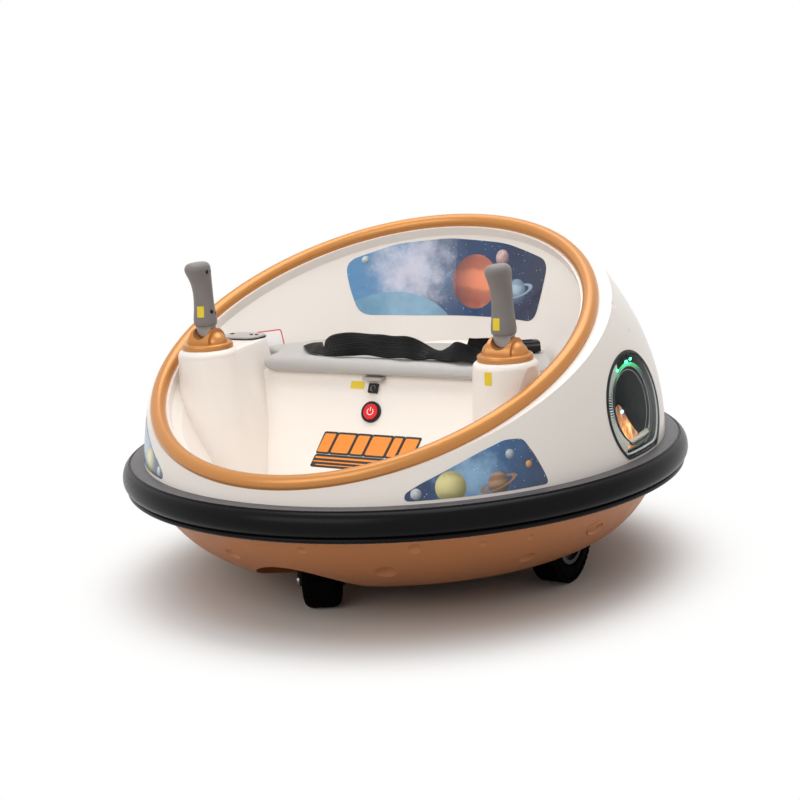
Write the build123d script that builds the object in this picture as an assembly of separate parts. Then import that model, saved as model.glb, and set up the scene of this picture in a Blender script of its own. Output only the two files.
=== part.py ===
"""Ride-on bumper car for a small child: round, battery driven, steered by two levers.

Millimetres.  The origin lies on the floor under the centre of the bumper ring, +Z is up,
the car faces -Y and the rider's left is +X.
"""
from build123d import *
from build123d import make_hull as wrapped
import math
import os

# ------------------------------------------------------------------ driving dimensions
WALL = 3.5                 # moulded wall of the shell, the tub and the hull
RUNNING_GAP = 0.05         # radial clearance of a shaft in its bore

# bumper ring
SHELL_FOOT_RADIUS = 332.0  # shell's outside where it meets the ring
BUMPER_FLANGE = 16.5       # flat flange outside the shell
BUMPER_BULGE = 11.5        # bulge beyond the flange
BUMPER_TOP_Z = 165.0
BUMPER_MID_Z = 147.0       # height of the widest part
BUMPER_UNDER_Z = 118.5
CLAMP_Z = 145.0            # shell's inner flange rests here, on the ring's tongue
TONGUE_THICK = 3.5
CLAMP_WIDTH = 18.0
FLANGE_RADIUS = SHELL_FOOT_RADIUS + BUMPER_FLANGE
BUMPER_RADIUS = FLANGE_RADIUS + BUMPER_BULGE

# dome: height above its foot, radius and centre follow these two parabolas
DOME_HEIGHT = 280.0
DOME_RADIUS_DROP = (5.3, 103.7)
DOME_CENTRE_SHIFT = (38.8, -87.2)

# rim tube, in its own tilted frame (X across, Y up the slope, Z out of the cockpit)
RIM_TILT = 24.5
RIM_SIDE_INSET = 57.4      # from the shell's foot to the tube's centre, at the side
RIM_END_INSET = 47.8       # the same along the slope
RIM_FRONT_INSET = 9.4      # at the front, seen from above
RIM_FRONT_RISE = 22.1      # tube's centre above the bumper at the front
RIM_TUBE_RADIUS = 9.5
RIM_LIP = 3.0              # shell left on each side of the tube
RIM_SINK = 3.0             # shoulder of the shell below the tube's centre
CARRIER_DEPTH = 12.0       # ring of the shell that holds the tube
RIM_HALF_WIDTH = SHELL_FOOT_RADIUS - RIM_SIDE_INSET
RIM_HALF_LENGTH = SHELL_FOOT_RADIUS - RIM_END_INSET
RIM_CENTRE = (
    0.0,
    RIM_FRONT_INSET - SHELL_FOOT_RADIUS + RIM_HALF_LENGTH * math.cos(math.radians(RIM_TILT)),
    BUMPER_TOP_Z + RIM_FRONT_RISE + RIM_HALF_LENGTH * math.sin(math.radians(RIM_TILT)),
)

# cockpit tub
FLARE_DROP = 115.0         # the flared wall goes this far in from the rim's plane
FLARE_INSET = 85.0
FOOT_FLOOR_Z = 93.0
FOOT_HALF_WIDTH = 165.0
FOOT_HALF_LENGTH = 200.0
FOOT_FRONT_Y = 70.0 - SHELL_FOOT_RADIUS
FOOT_RIM_INSET = 6.0       # the toe walls meet the flared part this far inside its lip
FOOT_WALL_Y = -98.0        # the toe walls end here, beside the pillars
SEAT_DECK_Z = 257.0
SEAT_EDGE_Y = -53.0
SEAT_FRONT_SLOPE = 26.0    # degrees from the vertical
PILLAR_X = RIM_HALF_WIDTH - 62.6
PILLAR_Y = -118.0
PILLAR_TOP_Z = 297.0
PILLAR_FOOT_Z = FOOT_FLOOR_Z - WALL
PILLAR_RADIUS = 38.0
PILLAR_DRAFT = 9.5         # extra radius at the foot
PILLAR_ROUND = 9.0         # rounding of the top edge
WEB_DROP = 24.0            # web between a pillar and the side wall, below the pillar's top
ARMREST_END_Y = -12.0
ARMREST_CORNER = 14.0
ARMREST_CORNER_X = 10.0 - PILLAR_X
ARMREST_SPREAD = 28.0      # the armrest's corner and the pillar widen by this at the foot
ARMREST_SHIFT = (18.0, 47.0)  # and their middles move inward: pillar, corner
ARMREST_STEP = 3.0         # armrest below the pillar's top
PANEL_SIZE = (57.0, 38.0)
PANEL_X = ARMREST_CORNER_X + ARMREST_CORNER - PANEL_SIZE[0] / 2 - 4.0

# seat pad
PAD_THICK = 20.0
PAD_GAP = 6.0              # to the walls and the pillars
PAD_OVERHANG = 14.0        # beyond the seat's edge
PAD_ROUND = 9.0            # rounding of the front edge

# hull
HULL_COLLAR_RADIUS = SHELL_FOOT_RADIUS - 11.5
HULL_SHIFT = 0.15          # centre of the bowl moves to the rear by this share of the depth
HULL_ROWS = (              # height, inset from the collar
    (BUMPER_UNDER_Z, 0.0),
    (97.0, 10.5),
    (65.0, 36.5),
    (46.0, 65.5),
    (36.0, 95.5),
    (22.0, 142.5),
)
CRATERS = (                # direction from the front towards the rider's left, height, radius
    (-13.0, 88.0, 8.0), (8.0, 108.0, 5.0), (24.5, 76.0, 10.0), (31.5, 109.0, 7.0),
    (45.5, 107.0, 4.0), (56.0, 105.0, 4.0), (57.0, 73.0, 8.0), (101.0, 104.0, 6.0),
    (119.0, 84.0, 9.0), (141.0, 107.0, 5.0), (158.0, 80.0, 7.0), (-165.0, 106.0, 8.0),
    (-148.0, 85.0, 5.0), (-128.0, 103.0, 9.0), (-108.0, 88.0, 4.0), (-62.0, 90.0, 9.0),
    (-42.0, 108.0, 5.0),
)
SHELL_CRATERS = ((97.0, 340.0, 6.0), (97.5, 305.0, 4.5))
CRATER_DEPTH = 0.2         # share of the crater's radius

# casters
CASTER_PIVOT_Y = HULL_COLLAR_RADIUS - 105.5
CASTER_TRAIL = 21.5
CASTER_WHEEL_RADIUS = 35.0
CASTER_WHEEL_WIDTH = 44.0
CASTER_SHOULDER = 9.0
CASTER_POCKET_RADIUS = 75.0
CASTER_POCKET_TOP_Z = 84.0
CASTER_STEM_RADIUS = 5.0
CASTER_AXLE_RADIUS = 4.0
CASTER_PLATE_RADIUS = 30.0
CASTER_SIDE_GAP = 1.0      # wheel to cheek
CASTER_CHEEK = 4.0
CASTER_ENDS = (            # name, sign of Y, swivel from straight back in degrees
    ("front", -1, 27.0),
    ("rear", 1, -12.0),
)

# drive wheels
DRIVE_FACE_X = HULL_COLLAR_RADIUS - 82.5  # outer face of the wheel
DRIVE_WIDTH = 34.0
DRIVE_RADIUS = 59.0
DRIVE_SHOULDER = 11.0
DRIVE_Y = -10.0
DRIVE_HUB_RADIUS = 36.0
DRIVE_HUB_RECESS = 7.0
DRIVE_BOSS_RADIUS = 14.0
DRIVE_PIN_RADIUS = 5.0
WELL_CLEARANCE = 6.0
WELL_INNER_X = DRIVE_FACE_X - DRIVE_WIDTH - WELL_CLEARANCE

# levers
LEVER_PIVOT_Z = PILLAR_TOP_Z + 20.0
LEVER_PIN_RADIUS = 2.5
BASE_RADIUS = 32.5
BASE_THICK = 7.0
BARREL_RADIUS = 19.5       # about the X axis, on the base's top
SLOT_HALF = 12.0
CHEEK_THICK = 3.5
EAR_RADIUS = 15.0
SLOT_FLOOR = 7.0           # below the pivot
FOOT_CLEARANCE = 1.0       # foot to the slot's sides
FOOT_DEPTH = 12.0
FOOT_BELOW = 5.0           # foot's lowest point below the pivot
SHANK = (15.0, 12.0)       # tongue of the foot inside the grip
SHANK_TOP = 28.0
GRIP_ROWS = (              # height above the pivot, half width, half depth, centre y
    (8.5, 13.6, 14.2, 0.0),
    (14.0, 14.6, 15.4, 0.0),
    (30.0, 13.2, 14.0, 0.0),
    (52.0, 12.4, 13.2, -0.4),
    (66.0, 12.8, 15.6, -2.6),
    (78.0, 13.8, 19.4, -6.4),
    (90.0, 13.2, 18.6, -7.0),
)
GRIP_HEAD_ROUND = 8.0
GRIP_FOOT_ROUND = 2.5
GRIP_SCREWS = ((24.0, 5.5), (78.0, 3.0))  # height above the pivot, y
GRIP_SCREW_RADIUS = 2.2
GRIP_SCREW_DEPTH = 6.0

# lamps
LAMP_Y = -2.0
LAMP_Z = BUMPER_TOP_Z + 57.0
LAMP_HALF_WIDTH = 71.0
LAMP_HALF_HEIGHT = 67.0
LAMP_FLAT = 3.0            # straight lower edge above the bumper
LAMP_CORNER = 9.0
LAMP_GASKET = 3.2
LAMP_PROUD = 1.5           # lens beyond the dome
LAMP_DEPTH = 16.0
LAMP_WALL = 2.2

# charging socket and seat latch, side by side on the seat's front wall
LATCH_X = -2.0

# belts
STRAP_THICK = 2.0
STRAP_REST = 0.3           # above the pad

SIDES = (("left", 1), ("right", -1))


# ------------------------------------------------------------------ shared construction
def rim_frame(drop=0.0):
    """Tilted frame of the rim, moved into the cockpit by drop."""
    tilt = math.radians(RIM_TILT)
    normal = Vector(0, -math.sin(tilt), math.cos(tilt))
    return Plane(origin=Vector(*RIM_CENTRE) - normal * drop, x_dir=(1, 0, 0), z_dir=normal)


def oval_arcs(half_width, half_length):
    """Oval of four tangent arcs: centre x, centre y, radius, start angle."""
    shift = (half_length - half_width) / (2 - math.sqrt(2))
    end_radius = half_length - shift
    side_radius = half_width + shift
    return (
        (-shift, 0.0, side_radius, -45.0),
        (0.0, shift, end_radius, 45.0),
        (shift, 0.0, side_radius, 135.0),
        (0.0, -shift, end_radius, 225.0),
    )


def oval(half_width, half_length):
    """Level oval face about the origin."""
    return make_face([
        CenterArc((cx, cy, 0), radius, start, 90.0)
        for cx, cy, radius, start in oval_arcs(half_width, half_length)
    ])


def rim_oval(inset, drop):
    """Face bounded by the rim's oval, made smaller by inset, in the plane at drop."""
    return rim_frame(drop) * oval(RIM_HALF_WIDTH - inset, RIM_HALF_LENGTH - inset)


def rim_ring(section):
    """Ring along the rim: section(radius) is a face in the XZ plane at x = radius."""
    ring = None
    for cx, cy, radius, start in oval_arcs(RIM_HALF_WIDTH, RIM_HALF_LENGTH):
        face = Pos(cx, cy, 0) * Rot(0, 0, start) * section(radius)
        part = revolve(face, Axis((cx, cy, 0), (0, 0, 1)), 90.0)
        ring = part if ring is None else ring + part
    return rim_frame() * ring


def above_rim(level):
    """Everything beyond the rim's plane raised by level, as a cutting block."""
    size = 1000.0
    return rim_frame(-level) * Pos(0, 0, size / 2) * Box(size, size, size)


def flared(grow=0.0):
    """Air of the flared upper cockpit; grow gives the outside of its wall."""
    start = RIM_SINK + CARRIER_DEPTH
    lip = RIM_TUBE_RADIUS + RIM_LIP
    top = rim_oval(lip - grow, start)
    bottom = rim_oval(lip + FLARE_INSET - grow, start + FLARE_DROP + grow)
    return loft([top, bottom], ruled=True)


def circle_stack(rows):
    """Smooth solid through level circles: height, radius, centre y."""
    return loft([Pos(0, cy, z) * Circle(radius).face() for z, radius, cy in rows])


def dome(grow=0.0):
    """Solid dome over the shell's foot."""
    rows = []
    for step in range(7):
        share = step / 6 * 1.02
        radius = SHELL_FOOT_RADIUS + grow
        radius -= DOME_RADIUS_DROP[0] * share + DOME_RADIUS_DROP[1] * share**2
        shift = DOME_CENTRE_SHIFT[0] * share + DOME_CENTRE_SHIFT[1] * share**2
        rows.append((BUMPER_TOP_Z + DOME_HEIGHT * share, radius, shift))
    return circle_stack(rows)


def bowl(inset=0.0):
    """Solid bowl of the hull, made smaller by inset along its surface normal."""
    rows = []
    last = len(HULL_ROWS) - 1
    for index, (z, tuck) in enumerate(HULL_ROWS):
        z_up, tuck_up = HULL_ROWS[max(index - 1, 0)]
        z_down, tuck_down = HULL_ROWS[min(index + 1, last)]
        length = math.hypot(z_up - z_down, tuck_down - tuck_up)
        inward = inset * (z_up - z_down) / length
        upward = inset * (tuck_down - tuck_up) / length
        if index == 0:
            inward, upward = inset, 0.0
        if index == last:
            upward = inset
        shift = HULL_SHIFT * max(0.0, BUMPER_UNDER_Z - z)
        rows.append((z + upward, HULL_COLLAR_RADIUS - tuck - inward, shift))
    return circle_stack(rows)


def hull_radius(z):
    """Radius and centre y of the bowl at height z, straight between its rows."""
    for (high, tuck_high), (low, tuck_low) in zip(HULL_ROWS, HULL_ROWS[1:]):
        if low <= z <= high:
            share = (high - z) / (high - low)
            tuck = tuck_high + share * (tuck_low - tuck_high)
            return HULL_COLLAR_RADIUS - tuck, HULL_SHIFT * (BUMPER_UNDER_Z - z)
    raise ValueError(f"the bowl has no height {z}")


def dome_radius(z, grow=0.0):
    """Radius and centre y of the dome at height z."""
    share = (z - BUMPER_TOP_Z) / DOME_HEIGHT
    radius = SHELL_FOOT_RADIUS + grow - DOME_RADIUS_DROP[0] * share - DOME_RADIUS_DROP[1] * share**2
    return radius, DOME_CENTRE_SHIFT[0] * share + DOME_CENTRE_SHIFT[1] * share**2


def dent(bearing, z, size, profile):
    """Ball that cuts a shallow crater where the bearing meets a round body's wall."""
    depth = CRATER_DEPTH * size
    ball = (size**2 + depth**2) / (2 * depth)
    radius, centre_y = profile(z)
    above, below = profile(z + 1.0)[0], profile(z - 1.0)[0]
    slope = math.atan2(below - above, 2.0)
    reach = radius + (ball - depth) * math.cos(slope)
    turn = math.radians(bearing)
    lift = (ball - depth) * math.sin(slope)
    return Pos(reach * math.sin(turn), centre_y - reach * math.cos(turn), z + lift) * Sphere(ball)


def upright(outline, low, high):
    """Prism between two heights on an outline drawn at z = 0."""
    return Pos(0, 0, low) * extrude(outline, high - low)


def crosswise(radius, length):
    """Cylinder about the X axis."""
    return Rot(0, 90, 0) * Cylinder(radius, length)


# ------------------------------------------------------------------ shell and rim
def carrier_section(radius):
    """Block of the shell that the tube sits in, before its groove is cut."""
    width = 2 * (RIM_TUBE_RADIUS + RIM_LIP)
    return Plane.XZ * (Pos(radius, -RIM_SINK - CARRIER_DEPTH / 2) * Rectangle(width, CARRIER_DEPTH))


def tube_section(radius):
    return Plane.XZ * (Pos(radius, 0) * Circle(RIM_TUBE_RADIUS))


def grooved_section(radius):
    return carrier_section(radius) - tube_section(radius)


def make_shell():
    outside = dome() - above_rim(-RIM_SINK)
    inside = dome(-WALL) - above_rim(-RIM_SINK - WALL)
    lip = RIM_TUBE_RADIUS + RIM_LIP
    opening = loft([rim_oval(lip, -5), rim_oval(lip, 40)])
    shell = outside - rim_ring(carrier_section) - inside - opening
    shell += rim_ring(grooved_section) & outside
    skirt = upright(Circle(SHELL_FOOT_RADIUS), CLAMP_Z, BUMPER_TOP_Z)
    skirt -= upright(Circle(SHELL_FOOT_RADIUS - WALL), CLAMP_Z + WALL, BUMPER_TOP_Z)
    skirt -= upright(Circle(SHELL_FOOT_RADIUS - CLAMP_WIDTH), CLAMP_Z, CLAMP_Z + WALL)
    shell += skirt
    for _, side in SIDES:
        shell -= lamp_prism(side)
        for bearing, z, size in SHELL_CRATERS:
            shell -= dent(side * bearing, z, size, dome_radius)
    return shell


def make_rim():
    ring = rim_ring(tube_section)
    front_half = rim_frame() * Pos(0, -500, 0) * Box(1000, 1000, 100)
    return ring & front_half, ring - front_half


def make_bumper():
    inner = SHELL_FOOT_RADIUS
    edge = FLANGE_RADIUS
    tongue_low = CLAMP_Z - TONGUE_THICK
    with BuildSketch(Plane.XZ) as section:
        with BuildLine():
            flange = Line((inner, BUMPER_TOP_Z), (edge, BUMPER_TOP_Z))
            groove = Polyline(flange @ 1, (edge + 1.5, BUMPER_TOP_Z - 2.5), (edge + 3.0, BUMPER_TOP_Z - 1.5))
            upper = ThreePointArc(
                groove @ 1, (BUMPER_RADIUS - 2.2, BUMPER_TOP_Z - 7.5), (BUMPER_RADIUS, BUMPER_MID_Z)
            )
            lower = ThreePointArc(
                upper @ 1, (BUMPER_RADIUS - 1.8, BUMPER_UNDER_Z + 19.0), (BUMPER_RADIUS - 6.5, BUMPER_UNDER_Z + 12.0)
            )
            notch = Polyline(
                lower @ 1,
                (BUMPER_RADIUS - 8.0, BUMPER_UNDER_Z + 11.0),
                (BUMPER_RADIUS - 6.5, BUMPER_UNDER_Z + 10.0),
            )
            bead = ThreePointArc(
                notch @ 1, (BUMPER_RADIUS - 5.0, BUMPER_UNDER_Z + 5.0), (BUMPER_RADIUS - 9.5, BUMPER_UNDER_Z)
            )
            Polyline(
                bead @ 1,
                (HULL_COLLAR_RADIUS, BUMPER_UNDER_Z),
                (HULL_COLLAR_RADIUS, tongue_low),
                (inner - CLAMP_WIDTH, tongue_low),
                (inner - CLAMP_WIDTH, CLAMP_Z),
                (inner, CLAMP_Z),
                (inner, BUMPER_TOP_Z),
            )
        make_face()
    return revolve(section.sketch, Axis.Z)


# ------------------------------------------------------------------ cockpit tub
def mouth(shrink=0.0):
    """Room inside the rim, from just below the lip upwards."""
    low = RIM_SINK + CARRIER_DEPTH + WALL
    plan = rim_oval(RIM_TUBE_RADIUS + RIM_LIP + FOOT_RIM_INSET + shrink, low)
    return extrude(plan, low + PILLAR_TOP_Z / 2, dir=tuple(rim_frame().z_dir))


def skirted_rest(shrink=0.0):
    """Armrest behind the rider's right pillar, wider towards its foot, out to the side wall."""
    top = PILLAR_TOP_Z - ARMREST_STEP - shrink
    ease = PILLAR_ROUND / 2
    levels = []
    for share, down, tuck in ((0.0, 0.0, 0.0), (1.0, ease, 0.0), (1.0, ease * 0.3, ease * 0.3), (1.0, 0.0, ease)):
        z = top - down if share else PILLAR_FOOT_Z
        inset = shrink + tuck
        spread = ARMREST_SPREAD * (1.0 - share)
        near = Circle(PILLAR_RADIUS + spread - inset)
        far = Circle(ARMREST_CORNER + spread / 2 - inset)
        near_at = Pos(ARMREST_SHIFT[0] * (1.0 - share) - PILLAR_X, PILLAR_Y)
        far_at = Pos(ARMREST_CORNER_X + ARMREST_SHIFT[1] * (1.0 - share), ARMREST_END_Y - ARMREST_CORNER - spread / 2)
        levels.append(Pos(0, 0, z) * wrapped((near_at * near).edges() + (far_at * far).edges()))
    rest = loft(levels, ruled=True)
    reach = RIM_HALF_WIDTH + ARMREST_CORNER_X
    length = ARMREST_END_Y - shrink - PILLAR_Y
    plan = Pos(ARMREST_CORNER_X - reach / 2, PILLAR_Y + length / 2) * Rectangle(reach, length)
    outer = upright(plan, PILLAR_FOOT_Z, PILLAR_TOP_Z - ARMREST_STEP - shrink)
    back_top = outer.edges().filter_by(Axis.X).group_by(Axis.Z)[-1].sort_by(Axis.Y)[-1]
    return rest + fillet(back_top, PILLAR_ROUND / 2)


def pillar(side, shrink=0.0):
    """Tapered post under a lever with its web to the wall; the rider's right one has the armrest."""
    top = PILLAR_TOP_Z - shrink
    head = Circle(PILLAR_RADIUS - shrink).face()
    foot = Circle(PILLAR_RADIUS + PILLAR_DRAFT - shrink).face()
    post = Pos(side * PILLAR_X, PILLAR_Y, 0) * loft([Pos(0, 0, PILLAR_FOOT_Z) * foot, Pos(0, 0, top) * head])
    post = fillet(post.edges().group_by(Axis.Z)[-1], PILLAR_ROUND - shrink / 2)
    if side < 0:
        post += skirted_rest(shrink)
    else:
        reach = RIM_HALF_WIDTH - PILLAR_X + PILLAR_RADIUS
        plan = Pos(PILLAR_X + reach / 2, PILLAR_Y + PILLAR_RADIUS / 2 - shrink) * Rectangle(reach, PILLAR_RADIUS)
        post += upright(plan, PILLAR_FOOT_Z, top - WEB_DROP)
    room = flared(WALL - shrink) - above_rim(-RIM_SINK - CARRIER_DEPTH - shrink)
    return (post & (room + mouth(shrink) + footwell(WALL - shrink))) - seat_block(WALL)


def footwell(grow=0.0):
    """Air of the footwell: steep toe walls up to the rim, plain sides beside the seat's front."""
    floor = FOOT_FLOOR_Z - grow
    low = Pos(0, FOOT_FRONT_Y + FOOT_HALF_LENGTH, floor) * oval(FOOT_HALF_WIDTH + grow, FOOT_HALF_LENGTH + grow)
    high = rim_oval(RIM_TUBE_RADIUS + RIM_LIP + FOOT_RIM_INSET - grow, RIM_SINK + CARRIER_DEPTH + WALL)
    toes = loft([low, high], ruled=True)
    toes &= Pos(0, FOOT_WALL_Y + grow - RIM_HALF_LENGTH, 0) * Box(4 * RIM_HALF_WIDTH, 2 * RIM_HALF_LENGTH, 4 * PILLAR_TOP_Z)
    inner = FOOT_HALF_WIDTH - FOOT_RIM_INSET
    reach = SEAT_EDGE_Y - FOOT_WALL_Y + PILLAR_RADIUS
    plan = Pos(0, FOOT_WALL_Y + reach / 2) * Rectangle(2 * (inner + grow), reach)
    return toes + upright(plan, floor, SEAT_DECK_Z)


def seat_block(shrink=0.0):
    """Everything below the seat deck and behind its sloping front."""
    lean = math.tan(math.radians(SEAT_FRONT_SLOPE))
    top = SEAT_DECK_Z - shrink
    edge = SEAT_EDGE_Y + shrink / math.cos(math.radians(SEAT_FRONT_SLOPE)) + shrink * lean
    low = FOOT_FLOOR_Z - 40.0
    outline = Polygon(
        (edge, top), (400.0, top), (400.0, low), (edge - (top - low) * lean, low), align=None
    )
    return extrude(Plane.YZ * outline, 400.0, both=True)


def cockpit_air(grow=0.0):
    return (flared(grow) + footwell(grow)) - seat_block(grow)


def make_tub():
    outside = cockpit_air(WALL)
    air = cockpit_air()
    hollows = []
    for _, side in SIDES:
        outside += pillar(side)
        air -= pillar(side)
        hollows.append(pillar(side, WALL))
    tub = outside - air
    for hollow in hollows:
        tub -= hollow
    return tub - rim_ring(carrier_section)


def make_seat_pad():
    """Plain pad that follows the cockpit's wall, with a round front edge over the seat."""
    low, high = SEAT_DECK_Z, SEAT_DECK_Z + PAD_THICK
    front, back = SEAT_EDGE_Y - PAD_OVERHANG, SEAT_EDGE_Y + 300.0
    slab = Pos(0, (front + back) / 2, (low + high) / 2) * Box(2 * RIM_HALF_WIDTH, back - front, PAD_THICK)
    slab = fillet(slab.edges().filter_by(Axis.X).group_by(Axis.Y)[0], PAD_ROUND)
    pad = flared(-PAD_GAP) & slab
    for _, side in SIDES:
        gap = PILLAR_RADIUS + PILLAR_DRAFT / 3 + PAD_GAP
        pad -= Pos(side * PILLAR_X, PILLAR_Y, low) * Cylinder(gap, 100.0)
    beside = Pos(PILLAR_X + RIM_HALF_WIDTH / 2, PILLAR_Y) * Rectangle(RIM_HALF_WIDTH, 2 * PILLAR_RADIUS + PAD_GAP)
    return pad - skirted_rest(-PAD_GAP) - upright(beside, low, low + 100.0)


# ------------------------------------------------------------------ hull
def well_box(side, grow=0.0):
    low_x = WELL_INNER_X - grow
    high_x = DRIVE_FACE_X + WELL_CLEARANCE + 6.0 + grow
    reach = DRIVE_RADIUS + WELL_CLEARANCE + grow
    top = 2 * DRIVE_RADIUS + WELL_CLEARANCE + grow
    block = Box(high_x - low_x, 2 * reach, top + 20.0)
    return Pos(side * (low_x + high_x) / 2, DRIVE_Y, (top - 20.0) / 2) * block


def make_hull():
    outside = bowl()
    hull = outside - bowl(WALL)
    collar = upright(Circle(HULL_COLLAR_RADIUS), BUMPER_UNDER_Z, CLAMP_Z - TONGUE_THICK)
    hull += collar - upright(Circle(HULL_COLLAR_RADIUS - WALL), BUMPER_UNDER_Z, CLAMP_Z)
    ends = [Pos(0, end * CASTER_PIVOT_Y) for _, end, _ in CASTER_ENDS]
    for at in ends:
        pocket = upright(at * Circle(CASTER_POCKET_RADIUS + WALL), 0.0, CASTER_POCKET_TOP_Z + WALL)
        hull += pocket & outside
    for _, side in SIDES:
        hull += well_box(side, WALL) & outside
    for at in ends:
        hull -= upright(at * Circle(CASTER_POCKET_RADIUS), -10.0, CASTER_POCKET_TOP_Z)
    for _, side in SIDES:
        hull -= well_box(side)
        hull -= Pos(side * WELL_INNER_X, DRIVE_Y, DRIVE_RADIUS) * crosswise(AXLE_BOSS_RADIUS + 0.5, 20.0)
    for bearing, z, size in CRATERS:
        hull -= dent(bearing, z, size, hull_radius)
    return hull


# ------------------------------------------------------------------ wheels
AXLE_BOSS_RADIUS = 12.0
GEARBOX = (54.0, 62.0, 74.0)
GEARBOX_RISE = 13.0        # its middle above the axle
MOTOR_RADIUS = 18.0
MOTOR_LENGTH = 44.0


def round_tyre(radius, width, shoulder, bore):
    """Tyre about the X axis, middle at the origin."""
    half = width / 2
    with BuildSketch(Plane.XZ) as section:
        with BuildLine():
            Polyline((-half, radius - shoulder), (-half, bore), (half, bore), (half, radius - shoulder))
            RadiusArc((half, radius - shoulder), (half - shoulder, radius), -shoulder)
            Line((half - shoulder, radius), (-half + shoulder, radius))
            RadiusArc((-half + shoulder, radius), (-half, radius - shoulder), -shoulder)
        make_face()
    return revolve(section.sketch, Axis.X)


def make_drive_wheel(side):
    """Tyre and hub; the hub's outer face is dished round a blind boss."""
    centre = Pos(side * (DRIVE_FACE_X - DRIVE_WIDTH / 2), DRIVE_Y, DRIVE_RADIUS)
    tyre = round_tyre(DRIVE_RADIUS, DRIVE_WIDTH, DRIVE_SHOULDER, DRIVE_HUB_RADIUS)
    width = DRIVE_WIDTH - 4.0
    hub = crosswise(DRIVE_HUB_RADIUS, width)
    face = Pos(side * (width - DRIVE_HUB_RECESS) / 2, 0, 0)
    hub -= face * crosswise(DRIVE_HUB_RADIUS - 5.0, DRIVE_HUB_RECESS)
    hub += face * crosswise(DRIVE_BOSS_RADIUS, DRIVE_HUB_RECESS)
    bore = Pos(-side * DRIVE_HUB_RECESS, 0, 0) * crosswise(DRIVE_PIN_RADIUS + RUNNING_GAP, width)
    return centre * tyre, centre * (hub - bore)


def make_gearbox(side):
    inner = WELL_INNER_X - WALL
    depth, length, height = GEARBOX
    block = Pos(side * (inner - depth / 2), DRIVE_Y + 6.0, DRIVE_RADIUS + GEARBOX_RISE) * Box(depth, length, height)
    block = fillet(block.edges().filter_by(Axis.X), 12.0)
    motor_at = (side * (inner - depth - MOTOR_LENGTH / 2), DRIVE_Y + 18.0, DRIVE_RADIUS + 2 * GEARBOX_RISE)
    motor = Pos(*motor_at) * crosswise(MOTOR_RADIUS, MOTOR_LENGTH)
    boss_length = WALL + WELL_CLEARANCE - 0.5
    boss = Pos(side * (inner + boss_length / 2), DRIVE_Y, DRIVE_RADIUS) * crosswise(AXLE_BOSS_RADIUS, boss_length)
    pin_end = DRIVE_FACE_X - DRIVE_HUB_RECESS - 5.0
    pin = Pos(side * (inner + pin_end) / 2, DRIVE_Y, DRIVE_RADIUS) * crosswise(DRIVE_PIN_RADIUS, pin_end - inner)
    return block + motor + boss + pin


# ------------------------------------------------------------------ casters
def caster_parts(end, swivel):
    """Mount, fork, axle and wheel of one caster, swivelled about its pivot."""
    pivot = Pos(0, end * CASTER_PIVOT_Y, 0)
    turned = pivot * Rot(0, 0, swivel)
    wheel_at = Pos(0, CASTER_TRAIL, CASTER_WHEEL_RADIUS)
    crown_low = 2 * CASTER_WHEEL_RADIUS + 4.0
    crown_high = crown_low + 5.0
    plate_low = crown_high + 0.3
    plate = upright(Circle(CASTER_PLATE_RADIUS), plate_low, CASTER_POCKET_TOP_Z)
    plate -= upright(Circle(CASTER_STEM_RADIUS + RUNNING_GAP), plate_low, CASTER_POCKET_TOP_Z)
    fork = upright(Circle(CASTER_PLATE_RADIUS - 6.0), crown_low, crown_high)
    fork += upright(Circle(CASTER_STEM_RADIUS), crown_high, CASTER_POCKET_TOP_Z - 0.3)
    cheek_in = CASTER_WHEEL_WIDTH / 2 + CASTER_SIDE_GAP
    cheek_out = cheek_in + CASTER_CHEEK
    fork += upright(
        Pos(0, CASTER_TRAIL / 2) * Rectangle(2 * cheek_out, CASTER_TRAIL + 20.0), crown_low, crown_high
    )
    boss = CASTER_AXLE_RADIUS + 5.0
    outline = Polygon(
        (-boss, crown_high), (CASTER_TRAIL + boss, crown_high),
        (CASTER_TRAIL + boss, CASTER_WHEEL_RADIUS), (CASTER_TRAIL - boss, CASTER_WHEEL_RADIUS), align=None
    )
    cheek = Plane.YZ * (outline + Pos(CASTER_TRAIL, CASTER_WHEEL_RADIUS) * Circle(boss))
    axle = wheel_at * crosswise(CASTER_AXLE_RADIUS, 2 * (cheek_out + 2.0))
    for side in (1, -1):
        blade = extrude(cheek, CASTER_CHEEK, dir=(1, 0, 0))
        fork += Pos(cheek_in if side > 0 else -cheek_out, 0, 0) * blade
        axle += wheel_at * Pos(side * (cheek_out + 1.5), 0, 0) * crosswise(CASTER_AXLE_RADIUS + 2.5, 3.0)
    fork -= wheel_at * crosswise(CASTER_AXLE_RADIUS, 2 * cheek_out)
    wheel = wheel_at * round_tyre(
        CASTER_WHEEL_RADIUS, CASTER_WHEEL_WIDTH, CASTER_SHOULDER, CASTER_AXLE_RADIUS + RUNNING_GAP
    )
    return pivot * plate, turned * fork, turned * axle, turned * wheel


# ------------------------------------------------------------------ levers
def trough(half, floor, depth):
    """Bar along Y with a round underside, open upwards: half its width, lowest z, length."""
    bar = Pos(0, 0, floor + half) * Rot(90, 0, 0) * Cylinder(half, depth)
    return bar + Pos(0, 0, floor + half + 25.0) * Box(2 * half, depth, 50.0)


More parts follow.
